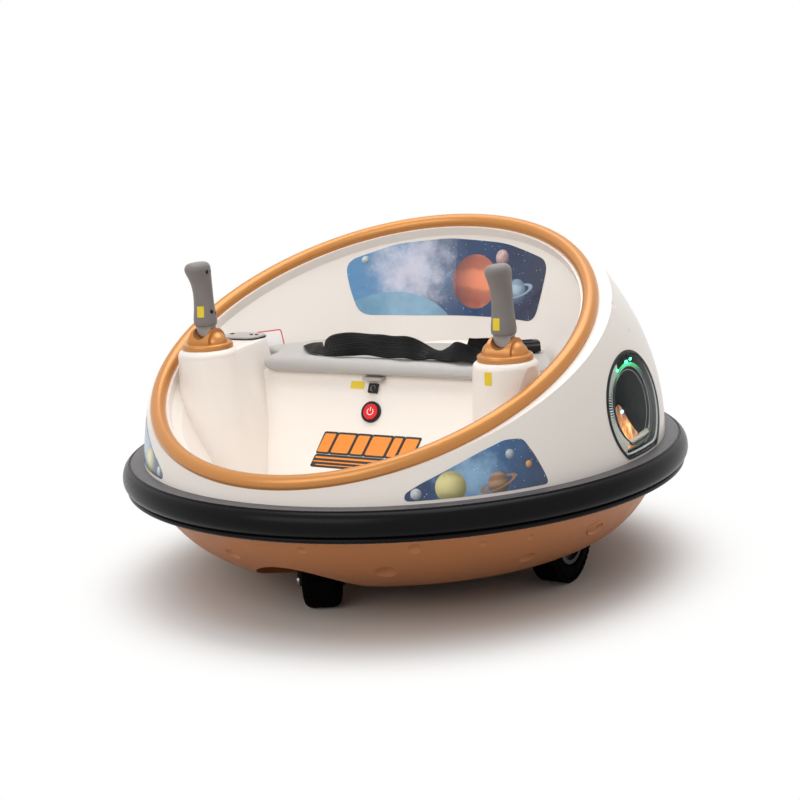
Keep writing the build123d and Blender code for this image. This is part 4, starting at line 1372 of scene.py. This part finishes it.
@dataclass
class Prints:
    """Films and blank labels on the mouldings."""

    def sky_back(self) -> None:
        """Night sky on the backrest: planet's limb, cloud and a bright patch."""
        corners = in_metres(
            (-158, 374), (-95, 394), (-20, 400), (70, 394), (148, 375), (140, 330), (131, 297),
            (-60, 297), (-134, 301), (-150, 340),
        )
        blue, deep, pale = (0.014, 0.05, 0.145), (0.004, 0.012, 0.05), (0.10, 0.27, 0.50)
        film = StarFilm(
            "print_back", (0.306, 0.103), (pale, blue, deep),
            (0.62, 0.62, 0.74), (0.085, 0.062), 0.075,
            (
                Disc(
                    0.060, -0.085, 0.118, (0.005, 0.03, 0.10), (0.22, 0.47, 0.66),
                    lit_from=(-0.2, 0.95)
                ),
                Disc(
                    0.182, 0.046, 0.036, (0.10, 0.015, 0.03), (0.93, 0.30, 0.16), 5.0,
                    lit_from=(0.5, 0.1)
                ),
                Disc(0.225, 0.078, 0.011, (0.12, 0.03, 0.05), (0.85, 0.62, 0.60)),
                Disc(0.254, 0.036, 0.016, (0.02, 0.05, 0.12), (0.45, 0.60, 0.72), 4.0, ring=True),
                Disc(0.022, 0.078, 0.005, (0.05, 0.12, 0.2), (0.8, 0.9, 0.95)),
            ),
        )

        def rearward(u: float, v: float) -> tuple[Vector, Vector]:
            """Ray from before the backrest straight back at (x, z)."""
            return Vector((u, -0.02, v)), Vector((0, 1, 0))

        outline = rounded(corners, 16 * MM)
        self.show("print_back", outline, rearward, tree_of("tub"), film, rings=24, around=160)

    def show(
        self, name: str, outline: Outline, rays: Rays, surface: BVHTree, finish: Surface,
        slot: str = "cream_shell", body: str = BODY, **more: float
    ) -> Piece:
        """Lays one film and hands it to the frame.

        Args:
            name: its name.
            outline: its flat shape.
            rays: how it is laid on.
            surface: what it lies on.
            finish: its print.
            slot: not used.
            body: the CAD body that it rides on.
            more: the film's other settings.

        Returns:
            The film.
        """
        return place_on(Film(name, outline, rays, surface, finish, **more).build(), body)

    def sky_side(self, side: Side) -> None:
        """Planets low on the dome beside the front.

        Args:
            side: the rider's left or right.
        """
        edge = (
            (30.2, 168.5), (30.2, 177), (33.5, 187), (37.3, 196), (41.5, 206), (45.5, 215),
            (50.8, 224.5), (54.6, 223), (56.8, 203), (58.6, 181), (59.3, 168.5),
        )
        sign, width = side.value, 0.168
        outline = [
            (sign * math.radians(turn) * DOME_REACH, z * MM) for turn, z in edge
        ][::sign]

        def across(x: float) -> float:
            """Place across the film, mirrored on the rider's right."""
            return x if side is Side.LEFT else width - x

        film = StarFilm(
            "print_" + side.word, (width, 0.056),
            ((0.01, 0.035, 0.11), (0.035, 0.13, 0.30), (0.008, 0.02, 0.07)),
            (0.30, 0.50, 0.70), (across(0.075), 0.02), 0.05,
            (
                Disc(across(0.013), 0.0075, 0.0062, (0.10, 0.14, 0.17), (0.86, 0.90, 0.93)),
                Disc(across(0.052), 0.012, 0.0175, (0.16, 0.14, 0.03), (0.86, 0.78, 0.36), 3.0),
                Disc(
                    across(0.107), 0.010, 0.0125, (0.035, 0.02, 0.012), (0.52, 0.30, 0.17), 7.0,
                    ring=True
                ),
                Disc(across(0.124), 0.040, 0.0055, (0.05, 0.09, 0.13), (0.68, 0.74, 0.78)),
                Disc(across(0.146), 0.026, 0.004, (0.2, 0.07, 0.02), (0.92, 0.52, 0.2)),
            ),
        )
        outline, dome = rounded(outline, 6 * MM), tree_of("shell_upper")
        self.show("print_" + side.word, outline, Round(), dome, film, rings=20, around=140)

    def seat_front(self) -> None:
        """Slanted orange bars and rules with dark shadows, and the blank socket label."""
        surface = tree_of("tub")
        wall = Flat(Vector((0, -86.5, 188.4)) * MM, front_normal())
        lean = 0.36

        def slant(
            left: float, right: float, base: float, top: float, grow: float = 0.0
        ) -> list[Point]:
            """Leaning bar between two levels, in millimetres, grown all round.

            Args:
                left: its foot's left end.
                right: its foot's right end.
                base: level of its foot.
                top: level of its head.
                grow: what is added all round.

            Returns:
                The rounded outline in metres.
            """
            sides = (
                (left, base, -1, -1), (right, base, 1, -1), (right, top, 1, 1), (left, top, -1, 1)
            )
            corners = (
                (x + side * grow + (y - base) * lean, y + up * grow) for x, y, side, up in sides
            )
            return rounded(in_metres(*corners), (1.4 + grow * 0.4) * MM, 3)

        def bar(
            name: str, outline: Outline, ink: Finish, rings: int = 3, around: int = 48
        ) -> Piece:
            """Printed bar, its dark shadow lying lower than its orange face.

            Args:
                name: its name.
                outline: its shape.
                ink: its colour.
                rings: rings of faces from the middle.
                around: points round it.

            Returns:
                The film.
            """
            lift = 0.0002 if ink is BLACK_INK else 0.0004
            return Film(name, outline, wall, surface, ink, lift, rings, around).build()

        upper = [(-70, -54), (-50, -25), (-21, -4), (0, 27), (31, 43), (47, 66)]
        lower = [(-72, 58, -33.2, 2.4), (-74, 22, -38.2, 1.6), (-70, 60, -42.6, 1.2)]
        shadows = [
            bar(f"bar_shadow_{k}", slant(left + 0.8, right + 0.8, -26, -2, 2.6), BLACK_INK)
            for k, (left, right) in enumerate(upper)
        ]
        shadows.append(bar("rule_shadow", slant(-76, 62, -45, -30, 1.0), BLACK_INK, 4, 90))
        bars = [
            bar(f"bar_{k}", slant(left, right, -26, -2), ORANGE_INK)
            for k, (left, right) in enumerate(upper)
        ]
        for k, (left, right, level, high) in enumerate(lower):
            outline = slant(left, right, level - high / 2, level + high / 2)
            bars.append(bar(f"rule_{k}", outline, ORANGE_INK, 2, 90))
        place_on(joined("bars_shadow", shadows), BODY)
        place_on(joined("bars_orange", bars), BODY)
        up = Flat(Vector((-27.1, -59.1, 244.4)) * MM, wall.normal)
        label = box_outline(20 * MM, 10 * MM, 0.8 * MM)
        self.show("label_socket", label, up, surface, YELLOW_INK, rings=3, around=48)

    def pillar_labels(self) -> None:
        """Blank yellow labels on each grip and the rider's left pillar, and two screw holes."""
        front = Vector((0, -1, 0.1)).normalized()
        pillar = Flat(Vector((208.7, -156.5, 281.0)) * MM, front)
        label = box_outline(9.5 * MM, 15 * MM, 0.8 * MM)
        self.show("label_pillar", label, pillar, tree_of("tub"), YELLOW_INK, rings=3, around=48)
        label = box_outline(9 * MM, 14 * MM, 0.8 * MM)
        inward = Vector((0.98, -0.17, 0.0)).normalized()
        for side, place in (
            (Side.RIGHT, (-208.4, -131.6, 345.0)), (Side.LEFT, (210.0, -132.5, 339.5))
        ):
            word, where = side.word, ("grey_plastic", f"lever_{side.word}")
            grip = tree_of(f"lever_grip_{word}")
            if side is Side.RIGHT:
                for k, (y, z) in enumerate(((-124.6, 395.0), (-121.0, 344.0))):
                    hole, disc = Flat(Vector((-198.4, y, z)) * MM, inward), circle(2.6 * MM, 28)
                    self.show(f"grip_hole_{k}", disc, hole, grip, BLACK, *where, rings=3, around=28)
            aim = Vector((side.value * -0.05 + 0.1, -1, 0.12)).normalized()
            spot = Flat(Vector(place) * MM, aim)
            self.show(
                f"label_grip_{word}", label, spot, grip, YELLOW_INK, *where, rings=4, around=56
            )

    def card(self) -> None:
        """White card with a red border on the side wall, left blank."""
        surface = tree_of("tub")
        normal = Vector((0.75, -0.5, 0.43)).normalized()
        spot = Flat(Vector((-221, 31, 279)) * MM, normal)
        border = box_outline(37 * MM, 27 * MM, 4 * MM)
        face = box_outline(33.6 * MM, 23.6 * MM, 3 * MM)
        self.show("card_border", border, spot, surface, RED_INK, rings=6, around=64)
        self.show("card_face", face, spot, surface, WHITE_INK, lift=0.0005, rings=6, around=64)

    def build(self) -> None:
        """Lays every film."""
        self.sky_back()
        for side in Side:
            self.sky_side(side)
        self.seat_front()
        self.pillar_labels()
        self.card()


@dataclass
class Lamp:
    """Inside of one side lamp: dark bowl, arch, rib band and lit spots."""

    side: Side
    y: float = -2.0 * MM
    z: float = 222.0 * MM
    half_width: float = 71.0 * MM
    half_height: float = 67.0 * MM
    low: float = 168.0 * MM
    around: int = 180
    easing: int = 4
    rib_count: int = 36
    rib_start: float = 112.0
    rib_step: float = 3.5
    rib_inset: float = 15.0 * MM

    SPOTS = (
        (2, 272, GREEN_GLOW, 3.2), (16, 273, GREEN_GLOW, 2.6), (-24, 267, GREEN_GLOW, 2.0),
        (-36, 222, BLUE_GLOW, 2.6), (-62, 222, BLUE_GLOW, 1.5),
    )

    def __post_init__(self) -> None:
        """Finds the bowl that everything is laid on."""
        self.bowl = tree_of(f"lamp_bowl_{self.side.word}")

    def film(
        self, name: str, outline: Outline, finish: Surface, lift: float, rings: int = 12,
        around: int = 96
    ) -> Film:
        """Shape that lies in the bowl."""
        return Film(name, outline, self.rays, self.bowl, finish, lift, rings, around)

    def band(
        self, name: str, inner: Outline, outer: Outline, finish: Surface, lift: Point, crown: float,
        steps: int = 8
    ) -> Piece:
        """Builds a raised band in the bowl."""
        return Strip(name, inner, outer, self.rays, self.bowl, finish, lift, crown, steps).build()

    def outline(
        self, inset: float, shift_y: float = 0.0, low: float | None = None, grow: Point = (0.0, 0.0)
    ) -> list[Point]:
        """The lamp's outline, flat at the bottom.

        Args:
            inset: how far inside the gasket's outer edge.
            shift_y: moves it rearward.
            low: height of its flat foot.
            grow: takes more off its half width and half height.

        Returns:
            Points (y, z).
        """
        foot = (self.low if low is None else low) + inset
        wide, high = self.half_width - inset - grow[0], self.half_height - inset - grow[1]
        points = circle(wide, self.around, self.y + shift_y, self.z, high / wide)
        return self.flattened(points, foot)

    def flattened(self, points: Outline, foot: float) -> list[Point]:
        """Cuts an outline off flat at a height, with eased corners.

        Args:
            points: the outline, as (y, z).
            foot: the height.

        Returns:
            The flattened outline.
        """
        kept = [(y, max(z, foot)) for y, z in points]
        eased = []
        window = range(-self.easing, self.easing + 1)
        for index in range(len(kept)):
            ring = [kept[(index + k) % len(kept)] for k in window]
            eased.append(tuple(sum(p[axis] for p in ring) / len(ring) for axis in (0, 1)))
        return eased

    def arch(self, inset: float) -> list[Point]:
        """Outline of the arch, smaller than the lamp and further back."""
        return self.outline(inset, 9 * MM, 176 * MM, (15 * MM, 17 * MM))

    def rays(self, u: float, v: float) -> tuple[Vector, Vector]:
        """Rays inward along X at (y, z)."""
        return Vector((self.side.value * 0.45, u, v)), Vector((-self.side.value, 0, 0))

    def build(self) -> None:
        """Builds all that shows behind the lens."""
        word = self.side.word
        out = self.side.value * LAMP_MIDDLE
        dark = self.film("lamp_dark", self.outline(4.2 * MM), BOWL, 0.0006, 14, 120).build()
        inner, outer = self.outline(6.2 * MM), self.outline(4.0 * MM)
        rim = self.band("lamp_rim", inner, outer, LAMP_EDGE, (11 * MM, 12 * MM), 0.6 * MM)
        self.put(joined(f"lamp_inside_{word}", [dark, rim]))
        glow = LitPlastic(
            f"lamp_arch_{word}", (0.010, 0.012, 0.011), (0.02, 0.9, 0.25),
            (out, 6 * MM, 262 * MM), 0.05, 1.8, coat=0.0,
        )
        inner, outer = self.arch(4.6 * MM), self.arch(1.0 * MM)
        arch = [self.band("arch", inner, outer, glow, (4 * MM, 5 * MM), 3.0 * MM, 10)]
        # Three thin pale lines along the clear arch: painted highlights.
        for inset, lift in ((0.6 * MM, 5.4 * MM), (4.8 * MM, 4.6 * MM), (8.5 * MM, 2.0 * MM)):
            inner, outer = self.arch(inset + 0.7 * MM), self.arch(inset)
            arch.append(self.band("arch_line", inner, outer, LAMP_EDGE, (lift, lift), 0.3 * MM, 4))
        self.put(joined(f"lamp_arch_{word}", arch))
        # Orange streaked patch low in the lamp, made to glow: painted reflection of the
        # surroundings.
        painted_reflection = LitPlastic(
            f"lamp_fire_{word}", (0.34, 0.09, 0.02), (0.95, 0.40, 0.07),
            (out, -30 * MM, 186 * MM), 0.045, 1.3, streaks=True,
        )
        lower = in_metres(
            (-46, 175), (14, 173), (12, 184), (-6, 197), (-20, 214), (-31, 232), (-43, 226),
            (-52, 198),
        )
        lit = self.film(f"lamp_fire_{word}", rounded(lower, 8 * MM), painted_reflection, 0.0035, around=90)
        self.put(lit.build())
        # Cream band along the lens's thick foot: painted reflection.
        inner = rounded(in_metres((-40, 177), (42, 177), (40, 183), (-43, 183)), 2 * MM)
        outer = rounded(in_metres((-46, 172.5), (46, 172.5), (44, 187), (-47, 187)), 4 * MM)
        self.put(self.band("lamp_foot", inner, outer, PAINTED_FOOT_REFLECTION, (6 * MM, 2 * MM), 0.5 * MM))
        self.put(self.ribs())
        for index, (y, z, finish, size) in enumerate(self.SPOTS):
            self.put(self.spot(f"lamp_spot_{word}_{index}", y * MM, z * MM, size * MM, finish))

    def put(self, piece: Piece) -> None:
        """Hands a piece of the lamp's inside to the frame."""
        place_on(piece, BODY)

    def spot(self, name: str, y: float, z: float, size: float, finish: Surface) -> Piece:
        """A small lit dome over the bowl.

        Args:
            name: its name.
            y: its place along the car.
            z: its height.
            size: its radius.
            finish: what it is made of.

        Returns:
            The dome.
        """
        place = self.film(name, (), finish, 0.009).points([Vector((y, z))])[0]
        work = bmesh.new()
        bmesh.ops.create_icosphere(work, subdivisions=3, radius=size)
        work.transform(Matrix.Translation(place) @ Matrix.Diagonal((0.4, 1.25, 0.7, 1.0)))
        mesh = bpy.data.meshes.new(name)
        work.to_mesh(mesh)
        work.free()
        mesh.materials.append(finish.material())
        for face in mesh.polygons:
            face.use_smooth = True
        return linked(name, mesh)

    def ribs(self) -> Piece:
        """Fine bars square to the outline along its front edge.

        Returns:
            One mesh object with every bar.
        """
        repeat = Repeat(f"lamp_ribs_{self.side.word}")
        for k in range(self.rib_count):
            turn = math.radians(self.rib_start + k * self.rib_step)
            y = self.y + (self.half_width - self.rib_inset) * math.cos(turn)
            z = self.z + (self.half_height - self.rib_inset) * math.sin(turn)
            if z < self.low + 8 * MM:
                continue
            place = self.film("rib", (), BLACK, 0.0075).points([Vector((y, z))])[0]
            out = Vector((0, math.cos(turn), math.sin(turn)))
            normal = Vector((self.side.value, 0, 0))
            repeat.spots.append((place, Matrix((out, normal.cross(out), normal)).transposed()))
        shape = box_outline(15 * MM, 1.3 * MM, 0.3 * MM)
        bar = Plate("rib", shape, -2.5 * MM, 1.2 * MM, BLACK, 0.2 * MM).build()
        return repeat.build(bar, LAMP_RIB)


@dataclass
class Switches:
    """Power button's sign, control panel's keys and the charging socket's sleeve."""

    def power_sign(self) -> None:
        """White ring with a gap and a bar, on the button."""
        top = tree_of("power_button")
        low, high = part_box("power_button")
        view = Flat((low + high) / 2, front_normal())
        gap, steps = 38, 30
        span = (360 - 2 * gap) / steps
        arc = [math.radians(90 + gap + k * span) for k in range(steps + 1)]
        film = Film("sign", (), view, top, WHITE_INK, 0.0002)
        rows = [
            film.points(Vector((size * math.cos(a), size * math.sin(a))) for a in arc)
            for size in (3.7 * MM, 4.7 * MM)
        ]
        count = len(arc)
        faces = [(k, k + 1, count + k + 1, count + k) for k in range(count - 1)]
        ring = make_object("sign_ring", rows[0] + rows[1], faces, WHITE_INK)
        shape = box_outline(1.1 * MM, 5.2 * MM, 0.5 * MM, 0.0, 3.2 * MM)
        bar = Film("sign_bar", shape, view, top, WHITE_INK, 0.0002, 2, 32).build()
        turned_to(ring, front_normal())
        place_on(joined("power_sign", [ring, bar]), BODY)

    def panel(self) -> None:
        """Small keys on the control panel and the dark gasket under it."""
        low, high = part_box("control_panel")
        middle = (low + high) / 2
        wide, deep = high.x - low.x + 1.4 * MM, high.y - low.y + 1.4 * MM
        shape = box_outline(wide, deep, 15.7 * MM, middle.x, middle.y)
        foot, head = low.z - 0.3 * MM, low.z + 1.6 * MM
        parts = [Plate("gasket", shape, foot, head, BLACK, 0.3 * MM).build()]
        for x, size in ((low.x + 9 * MM, 2.9), (high.x - 17 * MM, 2.4), (high.x - 8.5 * MM, 2.4)):
            spot = Matrix.Translation(Vector((x, middle.y + 2 * MM, high.z)))
            key = Plate("key", circle(size * MM), -0.4 * MM, 0.9 * MM, BLACK, 0.35 * MM)
            parts.append(key.build(spot))
        place_on(joined("panel_keys", parts), BODY)

    def socket(self) -> None:
        """Pale oval sleeve, dark bore and pin in the charging socket."""
        low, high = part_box("charge_socket")
        middle, normal = (low + high) / 2, front_normal()
        place, _, _, _ = tree_of("charge_socket").ray_cast(middle + normal * RAY_START, -normal)
        where = facing(place or middle, normal)
        outer, inner = circle(4.2 * MM, tall=1.3), circle(2.7 * MM, tall=1.3)
        pin = circle(1.1 * MM, 16, 0.0, -4.2 * MM)
        parts = [
            Plate("sleeve", outer, -0.5 * MM, 0.9 * MM, SLEEVE, 0.3 * MM).build(where),
            Plate("bore", inner, -0.5 * MM, 1.0 * MM, BLACK, 0.05 * MM).build(where),
            Plate("pin", pin, 0.0, 1.5 * MM, SLEEVE, 0.3 * MM).build(where),
        ]
        place_on(joined("socket_sleeve", parts), BODY)

    def build(self) -> None:
        """Builds them all."""
        self.power_sign()
        self.panel()
        self.socket()


@dataclass
class DriveWheel:
    """Tyre and tread of one driven wheel."""

    side: Side
    blocks: int = 44

    def build(self) -> None:
        """Turns the tyre and sets two rows of tread blocks round it."""
        word = self.side.word
        low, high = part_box(f"drive_tyre_{word}")
        centre = (low + high) / 2
        radius = (high.z - low.z) / 2
        width = high.x - low.x
        half = [(0.0, 0.020), (0.0, 0.010), (0.003, 0.0045), (0.008, 0.0022)]
        section = [(-width / 2 + x, radius - drop) for x, drop in half]
        section += [(width / 2 - x, radius - drop) for x, drop in reversed(half)]
        vertices, faces = [], []
        around, deep = 96, len(section)
        for k in range(around):
            a = math.tau * k / around
            vertices += [centre + Vector((x, r * math.cos(a), r * math.sin(a))) for x, r in section]
        for k in range(around):
            here, there = k * deep, (k + 1) % around * deep
            for m in range(deep):
                n = (m + 1) % deep
                faces.append((here + m, here + n, there + n, there + m))
        tyre = faced_outward(make_object("carcass", vertices, faces, TYRE))
        tyre.data.set_sharp_from_angle(angle=math.radians(TYRE_CREASE))
        parts, axle = [tyre], Vector((1, 0, 0))
        for row, (x, shift) in enumerate(((-0.25, 0.0), (0.25, 0.5))):
            tread = Repeat(f"tread_{row}")
            for k in range(self.blocks):
                a = math.tau * (k + shift) / self.blocks
                out = Vector((0, math.cos(a), math.sin(a)))
                spot = centre + Vector((x * width, 0, 0)) + out * (radius - 0.0023)
                tread.spots.append((spot, Matrix((axle, out.cross(axle), out)).transposed()))
            shape = box_outline(width * 0.42, 0.0074, 0.0010)
            block = Plate("block", shape, -0.002, 0.0019, TYRE, 0.0004).build()
            parts.append(tread.build(block, TYRE))
        body, node = f"drive_wheel_{word}", f"drive_tyre_{word}"
        place_on(joined(f"tyre_{word}", parts), body, [node])


@dataclass
class BumperRing:
    """Rubber ring round the shell: flat flange, bulge, groove and thin lower bead."""

    around: int = 288
    groove: float = 29.6
    under: float = 36.6

    def arc(self, start: Vector, through: Vector, end: Vector, steps: int) -> list[Vector]:
        """Points of the curve through three points, the first left out.

        Args:
            start: where it starts.
            through: what it passes halfway.
            end: where it ends.
            steps: number of points.

        Returns:
            The points.
        """
        knee = through * 2.0 - (start + end) / 2.0
        shares = ((k + 1) / steps for k in range(steps))
        return [start.lerp(knee, t).lerp(knee.lerp(end, t), t) for t in shares]

    def section(self) -> list[Vector]:
        """Section, as millimetres out from the widest line and up from the flange.

        Returns:
            Its corners in order.
        """
        edge, widest = Vector((-8.6, -1.5)), Vector((0.0, -18.0))
        waist, bead = Vector((-5.6, -self.groove + 0.8)), Vector((-5.2, -self.groove - 1.0))
        lip = ((-28.0, 0.0), (-12.0, 0.0), (-11.3, -0.35), (-10.2, -2.3), (-9.2, -2.4))
        points = [Vector(p) for p in lip] + [edge]
        points += self.arc(edge, Vector((-2.3, -7.6)), widest, 12)
        points += self.arc(widest, Vector((-1.4, -24.2)), waist, 9)
        points += [Vector((-7.0, -self.groove)), bead]
        points += self.arc(bead, Vector((-5.0, -self.groove - 4.6)), Vector((-9.6, -self.under)), 7)
        back = ((-39.0, -self.under), (-39.0, -20.0), (-28.0, -20.0))
        return points + [Vector(p) for p in back]

    def build(self) -> None:
        """Turns the section round the car."""
        _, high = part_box("bumper_ring")
        rows = [(high.x + p.x * MM, high.z + p.y * MM) for p in self.section()]
        count, vertices = len(rows), []
        for k in range(self.around):
            turn = math.tau * k / self.around
            vertices += [(r * math.cos(turn), r * math.sin(turn), z) for r, z in rows]
        faces = ring_faces(self.around, count, closed=True)
        ring = faced_outward(make_object("bumper", vertices, faces, BUMPER))
        ring.data.set_sharp_from_angle(angle=math.radians(RING_CREASE))
        # The flat top faces get the lighter grey: painted sheen.
        ring.data.materials.append(PAINTED_FLANGE_SHEEN.material())
        for face in ring.data.polygons:
            if abs(face.normal.z) > 0.99 and face.center.z > high.z - 0.5 * MM:
                face.material_index = 1
        place_on(ring, BODY, ["bumper_ring"])


@dataclass
class HullPlate:
    """Raised oval with two knobs moulded on the hull's side."""

    turn: float = 75.7
    height: float = 92.0 * MM

    def build(self) -> None:
        """Builds it on both sides."""
        surface = tree_of("hull_lower")
        for side in Side:
            at = math.radians(self.turn) * DOME_REACH * side.value
            outer = circle(15 * MM, 64, at, self.height, 0.6)
            inner = circle(12 * MM, 64, at, self.height, 0.52)
            lift = (0.1 * MM, 0.1 * MM)
            ring = Strip("ring", inner, outer, Round(), surface, COPPER, lift, 1.6 * MM, 8, 72)
            parts = [ring.build()]
            for shift in (-7, 7):
                spot = circle(2.6 * MM, 32, at + shift * MM, self.height)
                knob = Film("knob", spot, Round(), surface, COPPER, 0.0009, 4, 32)
                parts.append(knob.build())
            place_on(joined(f"hull_oval_{side.word}", parts), BODY)


FINISHES: dict[str, Surface] = {
    "cream_shell": CREAM, "gold_plastic": GOLD, "copper_plastic": COPPER, "black_rubber": BUMPER,
    "black_plastic": BLACK, "grey_plastic": GREY, "grey_pad": GREY, "webbing": BLACK,
    "red_plastic": RED, "clear_lens": Clear("clear_moulding"), "lamp_grey": BOWL,
    "tyre_black": TYRE, "steel": STEEL, "battery_grey": PALE_GREY,
}
NODE_FINISHES: dict[str, Surface] = {
    "control_panel": PALE_GREY, "seat_latch": PALE_GREY,
    "caster_wheel_front": TYRE, "caster_wheel_rear": TYRE,
    **{f"lamp_bowl_{side.word}": BOWL for side in Side},
    **{f"drive_hub_{side.word}": WHEEL_GREY for side in Side},
    **{f"lever_foot_{side.word}": FOOT_GREY for side in Side},
}


def dress_nodes() -> None:
    """Gives every CAD node its finish through its own material slots."""
    for name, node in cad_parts.items():
        for holder in node.material_slots:
            finish = NODE_FINISHES.get(name) or FINISHES[holder.material.name.split(".")[0]]
            holder.material = finish.material()
        LOG.info("%s dressed", name)


# ---------------------------------------------------------------- studio
@dataclass
class Studio:
    """White floor and surroundings, lights and camera."""

    eye: Vector = field(default_factory=lambda: Vector((1.0429, -1.7469, 0.6279)))
    lens: float = 72.85
    turn: float = 30.89
    rise: float = 11.49
    roll: float = -3.64
    horizon: float = 0.42
    zenith: float = 0.63
    key: float = 24.0
    fill: float = 24.0

    def camera(self) -> None:
        """Puts the camera where the view is taken from."""
        turn, rise, roll = (math.radians(a) for a in (self.turn, self.rise, self.roll))
        back = Vector(
            (math.sin(turn) * math.cos(rise), -math.cos(turn) * math.cos(rise), math.sin(rise))
        )
        right = Vector((math.cos(turn), math.sin(turn), 0.0))
        up = back.cross(right)
        across = right * math.cos(roll) + up * math.sin(roll)
        above = up * math.cos(roll) - right * math.sin(roll)
        made = linked("camera", bpy.data.cameras.new("camera"))
        made.data.lens, made.data.sensor_width = self.lens, 36.0
        made.data.clip_start, made.data.clip_end = 0.05, 60.0
        aim = Matrix((across, above, back)).transposed().to_4x4()
        made.matrix_world = Matrix.Translation(self.eye) @ aim
        bpy.context.scene.camera = made

    def world(self) -> None:
        """White for what looks at it, softer as a light."""
        world = bpy.data.worlds.new("surround")
        bpy.context.scene.world = world
        sheet = Sheet(world)
        height = sheet.apart(sheet.add("TexCoord").outputs["Generated"]).outputs["Z"]
        rise = sheet.feed(sheet.add("MapRange"), {
            "Value": height, "From Max": 0.8, "To Min": self.horizon, "To Max": self.zenith
        })
        strength = sheet.feed(sheet.add("Mix"), {0: sheet.looked_at(), 2: rise.outputs[0], 3: 1.0})
        light = sheet.feed(sheet.add("Background"), {
            "Color": (1.0, 1.0, 1.0), "Strength": strength.outputs[0]
        })
        sheet.feed(sheet.add("OutputWorld"), {"Surface": light.outputs[0]})

    def floor(self) -> None:
        """Floor with the model's shadow and painted shadow near it, fading to white away from it.
        """
        made = bpy.data.materials.new("floor")
        sheet = Sheet(made)
        away = sheet.distance(sheet.place(), (0.0, 0.0, 0.0))
        # Painted shadow: the floor as seen is darker near the model.
        near, far = (0.66, 0.58, 0.52), (0.97, 0.965, 0.96)
        tone = sheet.blend(sheet.ramp(away, 0.18, 0.42), near, far)
        ground = sheet.feed(sheet.add("BsdfDiffuse"), {"Color": tone}).outputs[0]
        white = sheet.feed(sheet.add("Emission"), {"Strength": 1.0}).outputs[0]
        share = sheet.ramp(away, 0.27, 0.50)
        fade = sheet.feed(sheet.add("MixShader"), {0: share, 1: ground, 2: white}).outputs[0]
        # Painted shade: the floor is darker near the model for the light it throws back onto the
        # car.
        near, far = (0.05, 0.042, 0.036), (0.62, 0.605, 0.59)
        tone = sheet.blend(sheet.ramp(away, 0.22, 0.58), near, far)
        plain = sheet.feed(sheet.add("BsdfDiffuse"), {"Color": tone}).outputs[0]
        pick = sheet.feed(sheet.add("MixShader"), {0: sheet.looked_at(), 1: plain, 2: fade})
        sheet.surface(pick.outputs[0])
        mesh = bpy.data.meshes.new("floor")
        corners = [
            (x * FLOOR_REACH, y * FLOOR_REACH, 0) for x, y in ((-1, -1), (1, -1), (1, 1), (-1, 1))
        ]
        mesh.from_pydata(corners, [], [(0, 1, 2, 3)])
        mesh.materials.append(made)
        linked("floor", mesh)

    def lamp(
        self, name: str, place: Sequence[float], aim: Sequence[float], size: Point, power: float,
        colour: Colour
    ) -> None:
        """One area light.

        Args:
            name: its name.
            place: where it hangs.
            aim: what it points at.
            size: width and height.
            power: watts.
            colour: its colour.
        """
        data = bpy.data.lights.new(name, "AREA")
        data.shape = "RECTANGLE"
        data.size, data.size_y = size
        data.energy = power
        data.color = colour
        spot = Vector(place)
        turn = (Vector(aim) - spot).to_track_quat("-Z", "Y").to_matrix().to_4x4()
        linked(name, data).matrix_world = Matrix.Translation(spot) @ turn

    def build(self) -> None:
        """Builds the studio."""
        bpy.context.scene.view_settings.view_transform = "Standard"
        self.world()
        self.floor()
        self.lamp("key", (0.02, 0.22, 1.9), (0, 0, 0.2), (1.7, 1.5), self.key, (1.0, 0.99, 0.975))
        warm = (1.0, 0.985, 0.97)
        self.lamp("fill", (-0.3, -2.5, 1.7), (0, 0, 0.25), (2.2, 1.4), self.fill, warm)
        self.camera()


@dataclass
class Car:
    """The whole toy."""

    seat: Seat = field(default_factory=Seat)
    prints: Prints = field(default_factory=Prints)
    switches: Switches = field(default_factory=Switches)
    oval: HullPlate = field(default_factory=HullPlate)
    bumper: BumperRing = field(default_factory=BumperRing)

    def build(self) -> None:
        """Dresses the frame and adds every sub-assembly."""
        dress_nodes()
        self.seat.build()
        self.prints.build()
        self.switches.build()
        for side in Side:
            Lamp(side).build()
            DriveWheel(side).build()
        self.oval.build()
        self.bumper.build()


def main() -> None:
    """Builds the picture."""
    logging.basicConfig(level=logging.INFO, format="%(name)s: %(message)s")
    Car().build()
    Studio().build()


if __name__ == "__main__":
    main()
